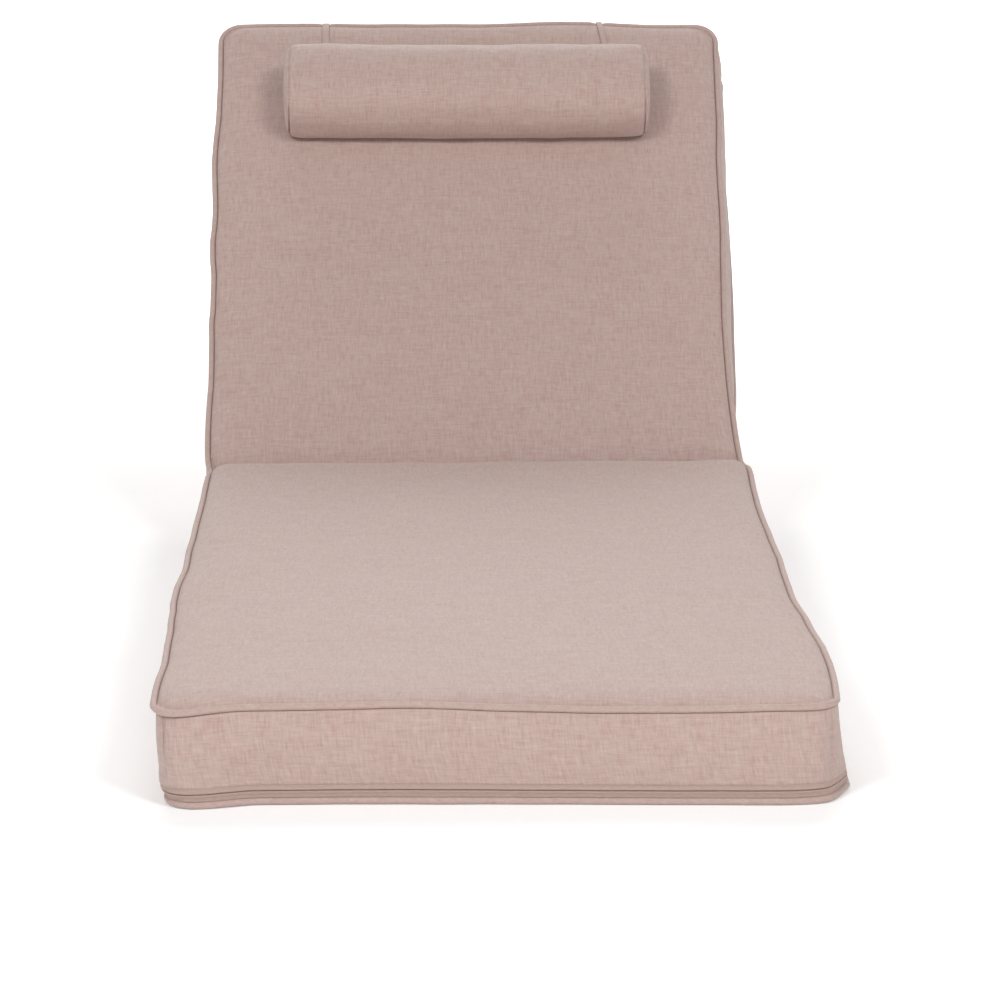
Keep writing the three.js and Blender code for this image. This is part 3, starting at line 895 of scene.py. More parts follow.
    def profile(self) -> tuple[Array, Array]:
        """Insets and heights of the rings between bottom panel and top panel.

        The cover turns in behind both pipings, to where they are sewn in.

        Returns:
            Arrays of insets and of heights, from the lowest ring to the highest.
        """
        at_hem = self.hem_height + np.array([0, self.hem_step])
        boxing = np.sort(np.concatenate([np.linspace(*self.boxing_span, self.boxing_rings), at_hem]))
        below, above = np.array(self.behind_bottom) * MM, np.array(self.behind_top) * MM
        inset = np.concatenate([below[:, 0], -self.boxing_out(boxing), above[:, 0]])
        height = np.concatenate([below[:, 1], boxing, above[:, 1]])
        return inset, height

    def panel_relief(self, x: Array, s: Array) -> Array:
        """Uneven lie of the top panel: long soft waves, and the creases drawn in by its seams.

        Args:
            x: plan places across.
            s: plan distances from the foot edge.

        Returns:
            The heights.
        """
        waves = self.long_waves.over(x, s) + self.short_waves.over(x, s)
        from_side, from_fold = self.shape.half_seam - np.abs(x), np.abs(s - self.shape.seat_length)
        puckers = self.side_puckers.over(s, self.stretch * x) * hump(from_side, self.pucker_reach)
        gathers = self.fold_gathers.over(x, self.stretch * s) * hump(from_fold, self.gather_reach)
        return waves + puckers + gathers + sum(wrinkle.over(x, s) for wrinkle in self.wrinkles)

    def panel_lift(self, x: Array, s: Array) -> Array:
        """Height of the top panel above its seam line, with its lap and its uneven lie.

        The lap is at its full height where the panel is sewn in and fades out up its shoulder, by the
        third power, while the uneven lie fades in.

        Args:
            x: plan places across.
            s: plan distances from the foot edge.

        Returns:
            The heights.
        """
        rise = self.shape.panel_height(x, s, self.notch)
        give = np.clip(rise / self.shape.panel_rise, 0, 1)
        lap = (self.lap + self.end_lift * self.near_end(s)) * (1 - give) ** 3
        return rise + lap + give * self.panel_relief(x, s)

    def tuck(self, height: Array, x: Array, s: Array) -> Array:
        """How far the boxing is drawn in round the two foot corners.

        It loses a share of its bulge and a little more, most of all just below the seam.

        Args:
            height: heights on the boxing.
            x: plan places across.
            s: plan distances from the foot edge.

        Returns:
            The distances inwards.
        """
        by_side = (self.corner_tuck, self.corner_inset, self.seam_inset)
        share, inset, high = (np.where(x < 0, *sides) for sides in by_side)
        level = np.clip(height / self.shape.top_seam, 0, 1)
        outward = np.clip(np.abs(x) / self.shape.half_seam, 0, 1)
        by_corner = np.clip(1 - s / self.tuck_reach, 0, 1) * outward**10
        drawn = (inset + high * hump(1 - level, self.seam_inset_depth)) * np.sin(np.pi * level) ** 0.3
        return by_corner * (share * self.boxing_out(height) + drawn)

    def boxing_relief(self, at: Array, height: Array, x: Array, s: Array, corners: Array) -> Array:
        """Uneven lie of the boxing, outwards.

        Soft waves and puckers below the seam fade out above the zip, where the boxing ends in a hem. The
        corners have a crease, and the boxing is drawn in round the two foot corners.

        Args:
            at: distances round the boxing.
            height: heights on it.
            x: plan places across.
            s: plan distances from the foot edge.
            corners: distances round the boxing to the middle of each corner.

        Returns:
            How far each place stands out.
        """
        level = np.clip(height / self.shape.top_seam, 0, 1)
        free = np.sin(np.pi * level)
        waves = self.boxing_waves.over(at, height) + self.boxing_ripples.over(at, height)
        puckers = self.boxing_puckers.over(at, self.boxing_stretch * height)
        puckers = puckers * hump(1 - level, self.pucker_depth)
        crease_at = self.crease_shift + (height - self.shape.top_seam) * self.crease_lean
        creases = sum(hump(at - corner - crease_at, self.crease_width) for corner in corners)
        lie = (waves + puckers) * free - self.crease_depth * creases * free**0.4
        above_hem = height - self.hem_height
        by_zip = np.clip((self.zip_reach - s) / self.zip_fade, 0, 1)
        calm = 1 - by_zip * (1 - np.clip(above_hem / self.calm_height, 0, 1))
        hem = self.hem_thickness * by_zip * np.clip(above_hem / self.hem_step, 0, 1)
        return (lie - self.tuck(height, x, s)) * calm + hem

    def surface(self) -> Surface:
        """Works out the whole cover.

        Returns:
            The closed surface, with the panels' cloth laid out flat and the boxing's round the outline.
        """
        shape = self.shape
        across, along = shape.across(self.step), shape.along(self.step)
        i, j = np.meshgrid(np.arange(len(across.core)), np.arange(len(along.core)), indexing="ij")
        a, b = across.take(i), along.take(j)
        top_x, top_s = shape.plan(a, b, self.notch)
        edge = self.notch - self.end_lap * self.near_end(top_s)
        x, s, z = shape.flat(a, b, edge, shape.top_seam)
        top = shape.fold(x, s, z + self.panel_lift(top_x, top_s))
        bottom = shape.fold(*shape.flat(a, b, self.bottom_inset, 0.0))

        round_i, round_j = outline(across, along)
        a, b = across.take(round_i[None, :]), along.take(round_j[None, :])
        seam_x, seam_s, _ = shape.flat(a, b, 0.0, shape.top_seam)
        at, girth = arc_length(np.stack([seam_x[0], seam_s[0]], axis=-1), closed=True)
        in_corner = np.isclose(np.minimum(a.share, b.share)[0], 1)
        inset, height = (value[:, None] for value in self.profile())
        relief = self.boxing_relief(at[None, :], height, *shape.plan(a, b, 0.0), at[in_corner])
        rings = shape.fold(*shape.flat(a, b, inset - relief, height, shape.fold_pinch))

        top_number = number(*i.shape)
        bottom_number = number(*i.shape, first=i.size)
        ring_number = number(*rings.shape[:2], first=2 * i.size)
        sewn = [bottom_number[round_i, round_j][None, :], ring_number, top_number[round_i, round_j][None, :]]
        quads = [
            grid_quads(top_number),
            grid_quads(bottom_number, flip=True),
            grid_quads(np.concatenate(sewn), around=True, flip=True),
        ]
        panel_cloth = laid_out(top_x, top_s)
        return Surface(
            points=np.concatenate([part.reshape(-1, 3) for part in (top, bottom, rings)]),
            cloth=np.concatenate([panel_cloth, panel_cloth, laid_out(at[None, :], height)]),
            quads=np.concatenate(quads),
            loop=(girth, math.inf),
        )

    def build(self, material: bpy.types.Material) -> None:
        """Args:
            material: its cloth.
        """
        cover = self.surface().make("filled_cover", material)
        dress(cover, Sewing.COVER, "cushion")


@dataclass
class Piping:
    """Cloth rolled round a cord and sewn into a seam all round the cushion.

    Attributes:
        shape: the cushion it is sewn to.
        name: name of the piece.
        node: name of the solid that it replaces.
        radius: radius of its section.
        height: height of its middle.
        dents: where a strap presses it in, and how far.
        dent_width: half the width of such a dent.
        dent_drop: how far it goes down, for each unit that it goes in.
        unevenness: how its radius varies along it, as a share.
        sides: number of sides of its section.
        step: distance between the grid's lines.
    """

    shape: CushionShape
    name: str
    node: str
    radius: float
    height: float
    dents: tuple[tuple[float, float], ...] = ()
    dent_width: float = 6 * MM
    dent_drop: float = 0.8
    unevenness: Waves = Waves(0.015, 41, 0.03, 0.12)
    sides: int = 14
    step: float = 6.5 * MM

    def pressed(self, x: Array, s: Array) -> Array:
        """How far a strap over the head edge presses the piping in."""
        dents = sum((depth * hump(x - at, self.dent_width) for at, depth in self.dents), 0 * x)
        return dents * (s > self.shape.length / 2)

    def surface(self) -> Surface:
        """A round section carried along the seam line, a little uneven in thickness.

        Returns:
            The closed tube, its cloth laid out along the seam and round the cord.
        """
        shape = self.shape
        across, along = shape.across(self.step), shape.along(self.step)
        round_i, round_j = outline(across, along)
        a, b = across.take(round_i[:, None]), along.take(round_j[:, None])
        seam_x, seam_s, _ = shape.flat(a, b, 0.0, self.height)
        at, girth = arc_length(np.concatenate([seam_x, seam_s], axis=-1), closed=True)
        angle = np.linspace(0, 2 * np.pi, self.sides, endpoint=False)[None, :]
        radius = self.radius * (1 + self.unevenness.over(at[:, None]))
        pressed = self.pressed(seam_x, seam_s)
        height = self.height - self.dent_drop * pressed + radius * np.sin(angle)
        points = shape.fold(*shape.flat(a, b, pressed - radius * np.cos(angle), height))
        return Surface(
            points=points.reshape(-1, 3),
            cloth=laid_out(at[:, None], self.radius * angle),
            quads=grid_quads(number(*points.shape[:2]), around=True, along=True),
            loop=(girth, 2 * np.pi * self.radius),
        )

    def build(self, material: bpy.types.Material) -> None:
        """Makes the piping in place of its solid."""
        dress(self.surface().make(self.name, material), Sewing.PIPING, self.node)


def dress(piece: bpy.types.Object, slot: Sewing, *nodes: str) -> None:
    """Says that a piece rides on the one body, and hides the solids that it replaces.

    Args:
        piece: the object.
        slot: not used.
        nodes: names of the solids that it replaces.
    """
    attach(piece, "root")
    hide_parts(*nodes)


@dataclass
class FootStrip:
    """A strip sewn on the boxing round the foot end, such as the zip's tape, given by its section.

    Attributes:
        shape: the cushion it is sewn to.
        cover: the cover, whose boxing it follows.
        reach: how far it runs along each side from the foot edge.
        step: distance between its stations.
    """

    shape: CushionShape
    cover: FilledCover
    reach: float = 130 * MM
    step: float = 3.0 * MM

    def line(self) -> tuple[GridLines, GridLines]:
        """Grid lines of its stations, from the left side round the foot to the right side.

        Returns:
            The lines across and the lines along, each as a column with one for each station.
        """
        across, along = self.shape.across(self.step), self.shape.along(self.step)
        last = int(np.searchsorted(along.core, self.reach))
        down = np.arange(last, 0, -1)
        foot = np.arange(len(across.core))
        i = np.concatenate([np.zeros(last, int), foot, np.full(last, foot[-1])])
        j = np.concatenate([down, np.zeros(len(foot), int), down[::-1]])
        return across.take(i[:, None]), along.take(j[:, None])

    def points(self, out: Array, height: Array) -> Array:
        """Places so far out of the boxing at so high a height, at each station.

        Args:
            out: distances out of the boxing, as a row.
            height: heights, as a row.

        Returns:
            Places in the row frame, three coordinates each, with one row for each station.
        """
        bulge = self.cover.boxing_out(height)
        return self.shape.fold(*self.shape.flat(*self.line(), -out - bulge, height))

    def surface(self, section: Array) -> Surface:
        """Carries a section round the foot.

        Args:
            section: distance out of the boxing and height of each corner, anticlockwise seen along it.

        Returns:
            The closed band with its two ends capped.
        """
        points = self.points(section[None, :, 0], section[None, :, 1])
        at, _ = arc_length(points[:, 0], closed=False)
        return band(points, at[:, None], section[None, :, 1])


@dataclass
class Zip:
    """The closed zip low on the foot end: two woven tapes that meet over a coil of teeth.

    Attributes:
        strip: the strip round the foot that it follows.
        tape_low: height of the lower tape's sewn edge.
        tape_high: height of the upper tape's sewn edge.
        tape_thickness: thickness of a tape.
        tape_lift: how far a tape rises over the coil.
        tape_profile: shares of a tape's width, lift and thickness, from the sewn edge to the groove.
        groove: gap between the tapes.
        stand_off: gap between the boxing and the zip.
        chain_height: height of the coil's middle.
        chain_width: width of the coil.
        pitch: distance between teeth.
        tooth: share of the coil's width and distance off it, in millimetres, along one tooth.
        tooth_slant: share of the pitch that a tooth leans along the coil.
        wire: half the width and half the thickness of a tooth.
        wire_sides: number of sides of a tooth's section.
    """

    strip: FootStrip
    tape_low: float = 6.9 * MM
    tape_high: float = 20.4 * MM
    tape_thickness: float = 0.7 * MM
    tape_lift: float = 1.15 * MM
    tape_profile: tuple[tuple[float, float, float], ...] = (
        (0, 0, 0.3), (0.04, 0, 1), (0.25, 0.02, 1), (0.45, 0.15, 1), (0.6, 0.5, 1),
        (0.72, 0.85, 1), (0.84, 1, 1), (0.96, 1, 1), (1, 1, 0.3),
    )
    groove: float = 1.1 * MM
    stand_off: float = 0.1 * MM
    chain_height: float = 14.4 * MM
    chain_width: float = 4.6 * MM
    pitch: float = 1.5 * MM
    tooth: tuple[tuple[float, float], ...] = (
        (0.0, 0.0375), (0.06, 0.5625), (0.3, 0.8625),
        (0.7, 0.8625), (0.94, 0.5625), (1.0, 0.0375),
    )
    tooth_slant: float = 0.55
    wire: tuple[float, float] = (0.529 * MM, 0.46 * MM)
    wire_sides: int = 6

    def tape(self, edge: float, meet: float) -> Surface:
        """One tape, from its sewn edge to where it meets the other over the coil.

        Args:
            edge: height of the sewn edge.
            meet: height of the edge at the groove.

        Returns:
            The closed band.
        """
        share, rise, thick = np.array(self.tape_profile).T
        heights = edge + (meet - edge) * share
        middle = self.stand_off + self.tape_thickness / 2 + self.tape_lift * rise
        half = thick * self.tape_thickness / 2
        inner = np.stack([middle - half, heights], axis=-1)
        outer = np.stack([middle + half, heights], axis=-1)
        section = np.concatenate([inner, outer[::-1]])
        return self.strip.surface(section if edge > meet else section[::-1])

    def coil(self) -> Surface:
        """The teeth: a rounded loop for each pitch of the coil, from one tape over to the other.

        Returns:
            All loops as one surface of separate closed pieces.
        """
        above = 1.0 * MM
        heights = self.chain_height + self.chain_width * np.array([[-0.5, 0.5]])
        edges = self.strip.points(np.array([[self.stand_off]]), heights)
        lifted = self.strip.points(np.array([[self.stand_off + above]]), heights)
        at, length = arc_length(edges[:, 0], closed=False)
        teeth = np.arange(self.pitch, length - self.pitch, self.pitch)
        lines = (edges[:, 0], edges[:, 1], lifted[:, 0])
        low, high, low_out = (self.between(at, line, teeth) for line in lines)
        up, out = high - low, (low_out - low) / above
        run = np.cross(up, out)
        run /= np.linalg.norm(run, axis=1)[:, None]
        share, rise = np.array(self.tooth).T[:, None, :, None]
        centre = low[:, None] + share * up[:, None] + rise * MM * out[:, None]
        slant = (share - 0.5) * self.pitch * self.tooth_slant * run[:, None]
        angle = np.linspace(0, 2 * np.pi, self.wire_sides, endpoint=False)
        aside = self.wire[0] * np.cos(angle)[None, None, :, None] * run[:, None, None]
        outward = self.wire[1] * np.sin(angle)[None, None, :, None] * out[:, None, None]
        points = (centre + slant)[:, :, None] + aside + outward
        count, rows, columns = points.shape[:3]
        first = np.arange(count) * rows * columns
        one = number(rows, columns)
        quads = (first[:, None, None] + grid_quads(one, around=True)[None]).reshape(-1, 4)
        ends = [one[0].tolist(), one[-1, ::-1].tolist()]
        caps = [[int(start) + k for k in end] for start in first for end in ends]
        flat = points.reshape(-1, 3)
        return Surface(points=flat, cloth=flat[:, [0, 2]], quads=quads, caps=caps)

    def between(self, at: Array, line: Array, places: Array) -> Array:
        """Reads a line of points at distances along it, straight between its points."""
        return np.stack([np.interp(places, at, line[:, axis]) for axis in range(3)], axis=-1)

    def build(self, tape: bpy.types.Material, coil: bpy.types.Material) -> None:
        """Makes the tape and the coil in place of their solids.

        Args:
            tape: material of the tapes.
            coil: material of the teeth.
        """
        upper = self.tape(self.tape_high, self.chain_height + self.groove / 2)
        lower = self.tape(self.tape_low, self.chain_height - self.groove / 2)
        made = Surface.joined([upper, lower]).make("zip_tapes", tape)
        dress(made, Sewing.TAPE, "zip_tape")
        teeth = self.coil().make("zip_coil", coil)
        dress(teeth, Sewing.CHAIN, "zip_chain")


@dataclass
class HeadPillow:
    """The bolster on the back section: a cover with an end panel sewn in at each end.

    Attributes:
        shape: the sizes of the cushion.
        cover: the cover that it lies on.
        length: over both ends.
        half_height: half its size up the slope.
        half_thickness: half its size square to the slope.
        centre_x: place of its middle across.
        centre_along: distance of its middle up the slope from the fold.
        squareness: power of its section's front.
        back_squareness: power of its section's back.
        back_cut: share of the half thickness at which the back is flat.
        back_still: share beyond which the back has no uneven lie.
        clearance: gap to the panel.
        rest_inset: how far inside the panel's edge its resting height is read.
        filling: what presses its cover out.
        settled: share of the half thickness, above the flat back, at which the cover is wholly free.
        sides: number of places round it.
        seam_in: distance of the end seams from the ends.
        seam_fade: how far beside them the cover isn't wholly free.
        half_seam: half the width of the sunk seams.
        pucker_in: distance of the deepest puckers from the ends.
        pucker_reach: how far their puckers go.
        stretch: how little a pucker changes along its own length.
        calmed: share of the other waves that is left out among the puckers.
        ends_apart: shift between the puckers of the two ends, so that they differ.
        long_waves: soft lie of the cover.
        short_waves: its finer lie.
        end_puckers: puckers along the end seams.
        middle_in: from the ends to the evenly spaced rings.
        middle_rings: number of those rings.
        rings: distance from the end in millimetres and share of the full section, for the other rings.
    """

    shape: CushionShape
    cover: FilledCover
    length: float = 466 * MM
    half_height: float = 59.6 * MM
    half_thickness: float = 42 * MM
    centre_x: float = -4 * MM
    centre_along: float = 555.4 * MM
    squareness: float = 2.6
    back_squareness: float = 5.0
    back_cut: float = 0.93
    back_still: float = 0.85
    clearance: float = 0.4 * MM
    rest_inset: float = 7 * MM
    filling: Filling = Filling()
    settled: float = 0.6
    sides: int = 120
    seam_in: float = 7.7 * MM
    seam_fade: float = 20 * MM
    half_seam: float = 1 * MM
    pucker_in: float = 7.5 * MM
    pucker_reach: float = 26 * MM
    stretch: float = 0.1
    calmed: float = 0.6
    ends_apart: float = 5.0
    long_waves: Waves = Waves(0.45 * MM, 51, 0.09, 0.3)
    short_waves: Waves = Waves(0.25 * MM, 52, 0.03, 0.08)
    end_puckers: Waves = Waves(0.6 * MM, 53, 0.012, 0.04, 14)
    middle_in: float = 70 * MM
    middle_rings: int = 46
    rings: tuple[tuple[float, float], ...] = (
        (0.15, 0.2), (0.4, 0.4), (1.0, 0.56), (1.9, 0.7), (3.2, 0.8), (4.6, 0.868),
        (6.0, 0.905), (6.9, 0.903), (7.7, 0.868), (8.5, 0.905), (9.6, 0.937), (11.5, 0.955),
        (14.6, 0.966), (20, 0.978), (30, 0.988), (42, 0.994), (56, 0.998),
    )

    def line_round(self) -> tuple[Array, Array, float]:
        """The full section as a closed line.

        Returns:
            Its places up the slope and square to it, the distance round at each, and the whole girth.
        """
        angle = np.linspace(0, 2 * np.pi, self.sides, endpoint=False)
        line = np.stack(self.section(angle), axis=-1) * [self.half_height, self.half_thickness]
        around, girth = arc_length(line, closed=True)
        return line, around, girth

    def free(self, cloth: Array) -> Array:
        """How free the points of the cover are: not at the end seams, nor on the back.

        Args:
            cloth: their places on the flat cloth, along the pillow and round it.

        Returns:
            The freedom of each, from 0 to 1.
        """
        line, around, girth = self.line_round()
        above_back = line[:, 1] / self.half_thickness + self.back_cut
        above = np.interp(cloth[:, 1], around, above_back, period=girth)
        from_seam = self.length / 2 - self.seam_in - np.abs(cloth[:, 0])
        return np.clip(above / self.settled, 0, 1) * np.clip(from_seam / self.seam_fade, 0, 1)

    @property
    def height(self) -> float:
        """Where the pillow's middle is when it rests on the crown of the panel.

        Returns:
            Its height above the seam.
        """
        low = self.shape.seat_length + self.centre_along - self.half_height
        crown = self.shape.panel_height(np.array(0.0), np.array(low), self.rest_inset)
        return float(crown) + self.clearance + self.half_thickness * self.back_cut

    def section(self, angle: Array) -> tuple[Array, Array]:
        """The full section, a superellipse cut flat where it lies on the panel.

        |y|ⁿ + |z|ⁿ = 1 with the squareness of the front or the back as n, and z no lower than the cut.

        Args:
            angle: angles from the direction up the slope.

        Returns:
            Shares of the half height and of the half thickness.
        """
        power = 2 / np.where(np.sin(angle) < 0, self.back_squareness, self.squareness)
        up = np.sign(np.cos(angle)) * np.abs(np.cos(angle)) ** power
        out = np.sign(np.sin(angle)) * np.abs(np.sin(angle)) ** power
        return up, np.maximum(out, -self.back_cut)

    def relief(self, x: Array, around: Array, out: Array) -> Array:
        """Uneven lie of the cover: soft waves, and puckers that run in from the end seams.

        Args:
            x: places along the pillow.
            around: distances round it.
            out: shares of the half thickness, towards the front.

        Returns:
            How far each place stands out.
        """
        from_puckers = self.length / 2 - self.pucker_in - np.abs(x)
        near = hump(np.maximum(from_puckers, 0), self.pucker_reach) * (from_puckers > -self.half_seam)
        waves = self.long_waves.over(x, around) + self.short_waves.over(x, around)
        puckers = self.end_puckers.over(around + self.ends_apart * np.sign(x), self.stretch * x)
        return (waves * (1 - self.calmed * near) + puckers * near) * (out >= -self.back_still)

    def surface(self) -> Surface:
        """Works out the pillow.

        Returns:
            The closed surface, its cloth laid out along the pillow and round it.
        """
        half = self.length / 2
        from_end, size = np.array(self.rings).T
        from_end = from_end * MM
        middle = np.linspace(self.middle_in - half, half - self.middle_in, self.middle_rings)
        x = np.concatenate([from_end - half, middle, half - from_end[::-1]])[:, None]
        size = np.concatenate([size, np.ones(len(middle)), size[::-1]])[:, None]
        line, around, girth = self.line_round()
        relief = self.relief(x, around[None, :], line[None, :, 1] / self.half_thickness)
        size = size * (1 + relief / self.half_height)
        out = np.maximum(size * line[None, :, 1], -self.back_cut * self.half_thickness)
        x, up, out = np.broadcast_arrays(x, size * line[None, :, 0], out)
        points = self.shape.raise_back(x + self.centre_x, up + self.centre_along, out + self.height)
        tips = self.centre_x + np.array([-half, half])
        ends = self.shape.raise_back(tips, np.array(self.centre_along), np.array(self.height))
        index = number(*points.shape[:2])
        beside = np.roll(index, -1, axis=1)
        low, high = index.size, index.size + 1
        caps = [[low, int(b), int(a)] for a, b in zip(index[0], beside[0])]
        caps += [[high, int(a), int(b)] for a, b in zip(index[-1], beside[-1])]
        return Surface(
            points=np.concatenate([points.reshape(-1, 3), ends]),
            cloth=np.concatenate([laid_out(x, around[None, :]), [[-half, 0], [half, 0]]]),
            quads=grid_quads(index, around=True, flip=True),
            caps=caps,
            loop=(math.inf, girth),
        )

    def build(self, material: bpy.types.Material) -> None:
        """Args:
            material: its cloth.
        """
        surface = self.surface()
        pillow = surface.make("bolster", material)
        self.filling.settle(pillow, self.free(surface.cloth))
        dress(pillow, Sewing.COVER, "head_pillow")


@dataclass
class Strap:
    """A flat sewn band from the back of the pillow over the head end to the rear seam.

    Attributes:
        shape: the sizes of the cushion.
        pillow: the pillow that it holds.
        name: name of the piece.
        node: name of the solid that it replaces.
        x: place across where it passes the head edge.
        slant: how far it moves to the left, for each unit that it goes towards the head.
        width: its width.
        thickness: its thickness.
        clearance: gap to what it lies on.
        stand_out: how far it stands out of the line of the piping.
        dent_gap: how much deeper than that the piping is pressed in.
        rear_gap: further gap to the rear piping.
        bow: how far it stands off a straight line down the boxing.
        tuck: how much of it lies under the rear piping.
        root_angle: where on the pillow's section it is sewn.
        over_angle: angle on the top piping at which it first touches it, in degrees.
        profile: shares of half the width and half the thickness, with a row of stitches at each side.
        hang_steps: number of places from the pillow to the piping.
        arc_steps: number of places round each piping.
        fall_steps: number of places down the boxing.
        steps: number of even places along it in the end.
    """

    shape: CushionShape
    pillow: HeadPillow
    name: str
    node: str
    x: float
    slant: float = 0.0
    width: float = 9 * MM
    thickness: float = 1.4 * MM
    clearance: float = 0.35 * MM
    stand_out: float = 0.1 * MM
    dent_gap: float = 0.15 * MM
    rear_gap: float = 0.3 * MM
    bow: float = 0.6 * MM
    tuck: float = 8 * MM
    root_angle: float = math.radians(-35)
    over_angle: float = 78
    profile: tuple[tuple[float, float], ...] = (
        (-1, 0.35), (-0.93, 0.8), (-0.72, 1.0), (-0.62, 0.72), (-0.52, 1.0), (0, 1.06),
        (0.52, 1.0), (0.62, 0.72), (0.72, 1.0), (0.93, 0.8), (1, 0.35),
    )
    hang_steps: int = 40
    arc_steps: int = 14
    fall_steps: int = 24
    steps: int = 150

    @property
    def pressed(self) -> float:
        """How far it presses the piping in: its thickness and gap, less what stands out."""
        return self.thickness + self.clearance - self.stand_out

    @property
    def dent(self) -> tuple[float, float]:
        """Where across it dents the piping, and how far."""
        return self.x, self.pressed + self.dent_gap

    def centreline(self, head_edge: float) -> Array:
        """Side view of the band's middle, from the pillow to the rear seam.

        Args:
            head_edge: distance of the head edge up the slope.

        Returns:
            Places as distance beyond the head edge and height above the top seam.
        """
        shape, pillow = self.shape, self.pillow
        gap = self.clearance + self.thickness / 2
        up, out = (float(share) for share in pillow.section(np.array(self.root_angle)))
        beyond = pillow.centre_along - head_edge + up * pillow.half_height
        root = np.array([beyond, pillow.height + out * pillow.half_thickness])
        top = np.array([-shape.top_piping, 0])
        rear = np.array([-shape.top_piping, shape.bottom_seam - shape.top_seam])
        over = self.arc(top, shape.top_piping - self.pressed + gap, self.over_angle, 0)
        under = self.arc(rear, shape.bottom_piping + self.rear_gap + gap, 0, -90)
        hang = self.taut(root, over[0], gap)[:-1]
        fall = np.linspace(over[-1], under[0], self.fall_steps)[1:-1]
        fall[:, 0] += self.cover_out(fall[:, 1])
        tuck = under[-1] - np.array([[self.tuck, 0]])
        return np.concatenate([hang, over, fall, under, tuck])

    def taut(self, root: Array, end: Array, gap: float) -> Array:
        """The band pulled tight from the pillow over the shoulder of the panel.

        The least line without a hollow over the panel's height plus the gap: at each place, the highest
        straight line between any two places on either side of it.

        Args:
            root: start at the pillow, as distance beyond the head edge and height.
            end: end above the piping, likewise.
            gap: from the panel's cloth to the middle of the band.

        Returns:
            Places in order, likewise.
        """
        beyond = np.linspace(root[0], end[0], self.hang_steps)
        across = self.x - self.slant * beyond
        lowest = self.pillow.cover.panel_lift(across, self.shape.length + beyond) + gap
        lowest[0], lowest[-1] = root[1], end[1]
        before, after = beyond[:, None, None], beyond[None, :, None]
        share = (beyond - before) / np.where(after > before, after - before, 1)
        line = lowest[:, None, None] * (1 - share) + lowest[None, :, None] * share
        height = np.where((after > before) & (share >= 0) & (share <= 1), line, -1).max(axis=(0, 1))
        return np.stack([beyond, height], axis=-1)

    def cover_out(self, height: Array) -> Array:
        """How far the band stands off the straight line over the bulge of the boxing behind it."""
        level = np.clip((height + self.shape.top_seam) / self.shape.top_seam, 0, 1)
        return self.bow * np.sin(np.pi * level)

    def arc(self, centre: Array, radius: float, start: float, end: float) -> Array:
        """Places on an arc from a start angle to an end angle in degrees."""
        angle = np.radians(np.linspace(start, end, self.arc_steps))
        return centre + radius * np.stack([np.cos(angle), np.sin(angle)], axis=-1)

    def surface(self) -> Surface:
        """Works out the band, with rounded edges and a row of stitches sunk beside each edge.

        Returns:
            The closed band.
        """
        head_edge = self.shape.back_length + float(END_WAVES.read(np.array(self.x), Column.HEAD))
        line = self.centreline(head_edge)
        at, _ = arc_length(line, closed=False)
        steps = np.linspace(0, at[-1], self.steps)
        line = np.stack([np.interp(steps, at, line[:, k]) for k in range(2)], axis=-1)
        run = np.gradient(line, axis=0)
        run /= np.linalg.norm(run, axis=1)[:, None]
        normal = np.stack([-run[:, 1], run[:, 0]], axis=-1)
        upper = np.array(self.profile) * [self.width / 2, self.thickness / 2]
        section = np.concatenate([upper, (upper * [1, -1])[::-1]])
        stand = line[:, None] + normal[:, None] * section[None, :, 1:]
        x = self.x + section[None, :, 0] - self.slant * stand[..., 0]
        points = self.shape.raise_back(x, head_edge + stand[..., 0], stand[..., 1])
        return band(points, section[None, :, 0], steps[:, None])

    def build(self, material: bpy.types.Material) -> None:
        """Makes the strap in place of its solid."""
        dress(self.surface().make(self.name, material), Sewing.STRAP, self.node)


@dataclass(frozen=True)
class Signal:
    """A varying number or place inside a material, so that sums are written as plain arithmetic.

    Attributes:
        tree: the material's node tree.
        socket: the output that gives the value.
    """

    tree: bpy.types.NodeTree
    socket: Any

    def math(self, operation: str, *terms: Any) -> "Signal":
        """Adds a Math node.

        Args:
            operation: what the node does.
            terms: its inputs, signals or numbers.

        Returns:
            Its result.
        """
        node = self.tree.nodes.new("ShaderNodeMath")
        node.operation = operation
        plug(self.tree, node, dict(enumerate(terms)))
        return Signal(self.tree, node.outputs[0])

    def clamped(self, low: float, high: float) -> "Signal":
        """The signal held between two values."""
        return self.math("MINIMUM", self.math("MAXIMUM", self, low), high)

    def __add__(self, other: Any) -> "Signal":
        """This and the other."""
        return self.math("ADD", self, other)

    def __radd__(self, other: Any) -> "Signal":
        """The other and this."""
        return self.math("ADD", other, self)

    def __sub__(self, other: Any) -> "Signal":
        """This less the other."""
        return self.math("SUBTRACT", self, other)

    def __rsub__(self, other: Any) -> "Signal":
        """The other less this."""
        return self.math("SUBTRACT", other, self)

    def __mul__(self, other: Any) -> "Signal":
        """This times the other."""
        return self.math("MULTIPLY", self, other)

    def __rmul__(self, other: Any) -> "Signal":
        """The other times this."""
        return self.math("MULTIPLY", other, self)

    def __truediv__(self, other: Any) -> "Signal":
        """This over the other."""
        return self.math("DIVIDE", self, other)

    def __rtruediv__(self, other: Any) -> "Signal":
        """The other over this."""
        return self.math("DIVIDE", other, self)

    def __mod__(self, other: Any) -> "Signal":
        """What is left of this after whole steps of the other."""
        return self.math("FLOORED_MODULO", self, other)

    def __rmod__(self, other: Any) -> "Signal":
        """What is left of the other after whole steps of this."""
        return self.math("FLOORED_MODULO", other, self)


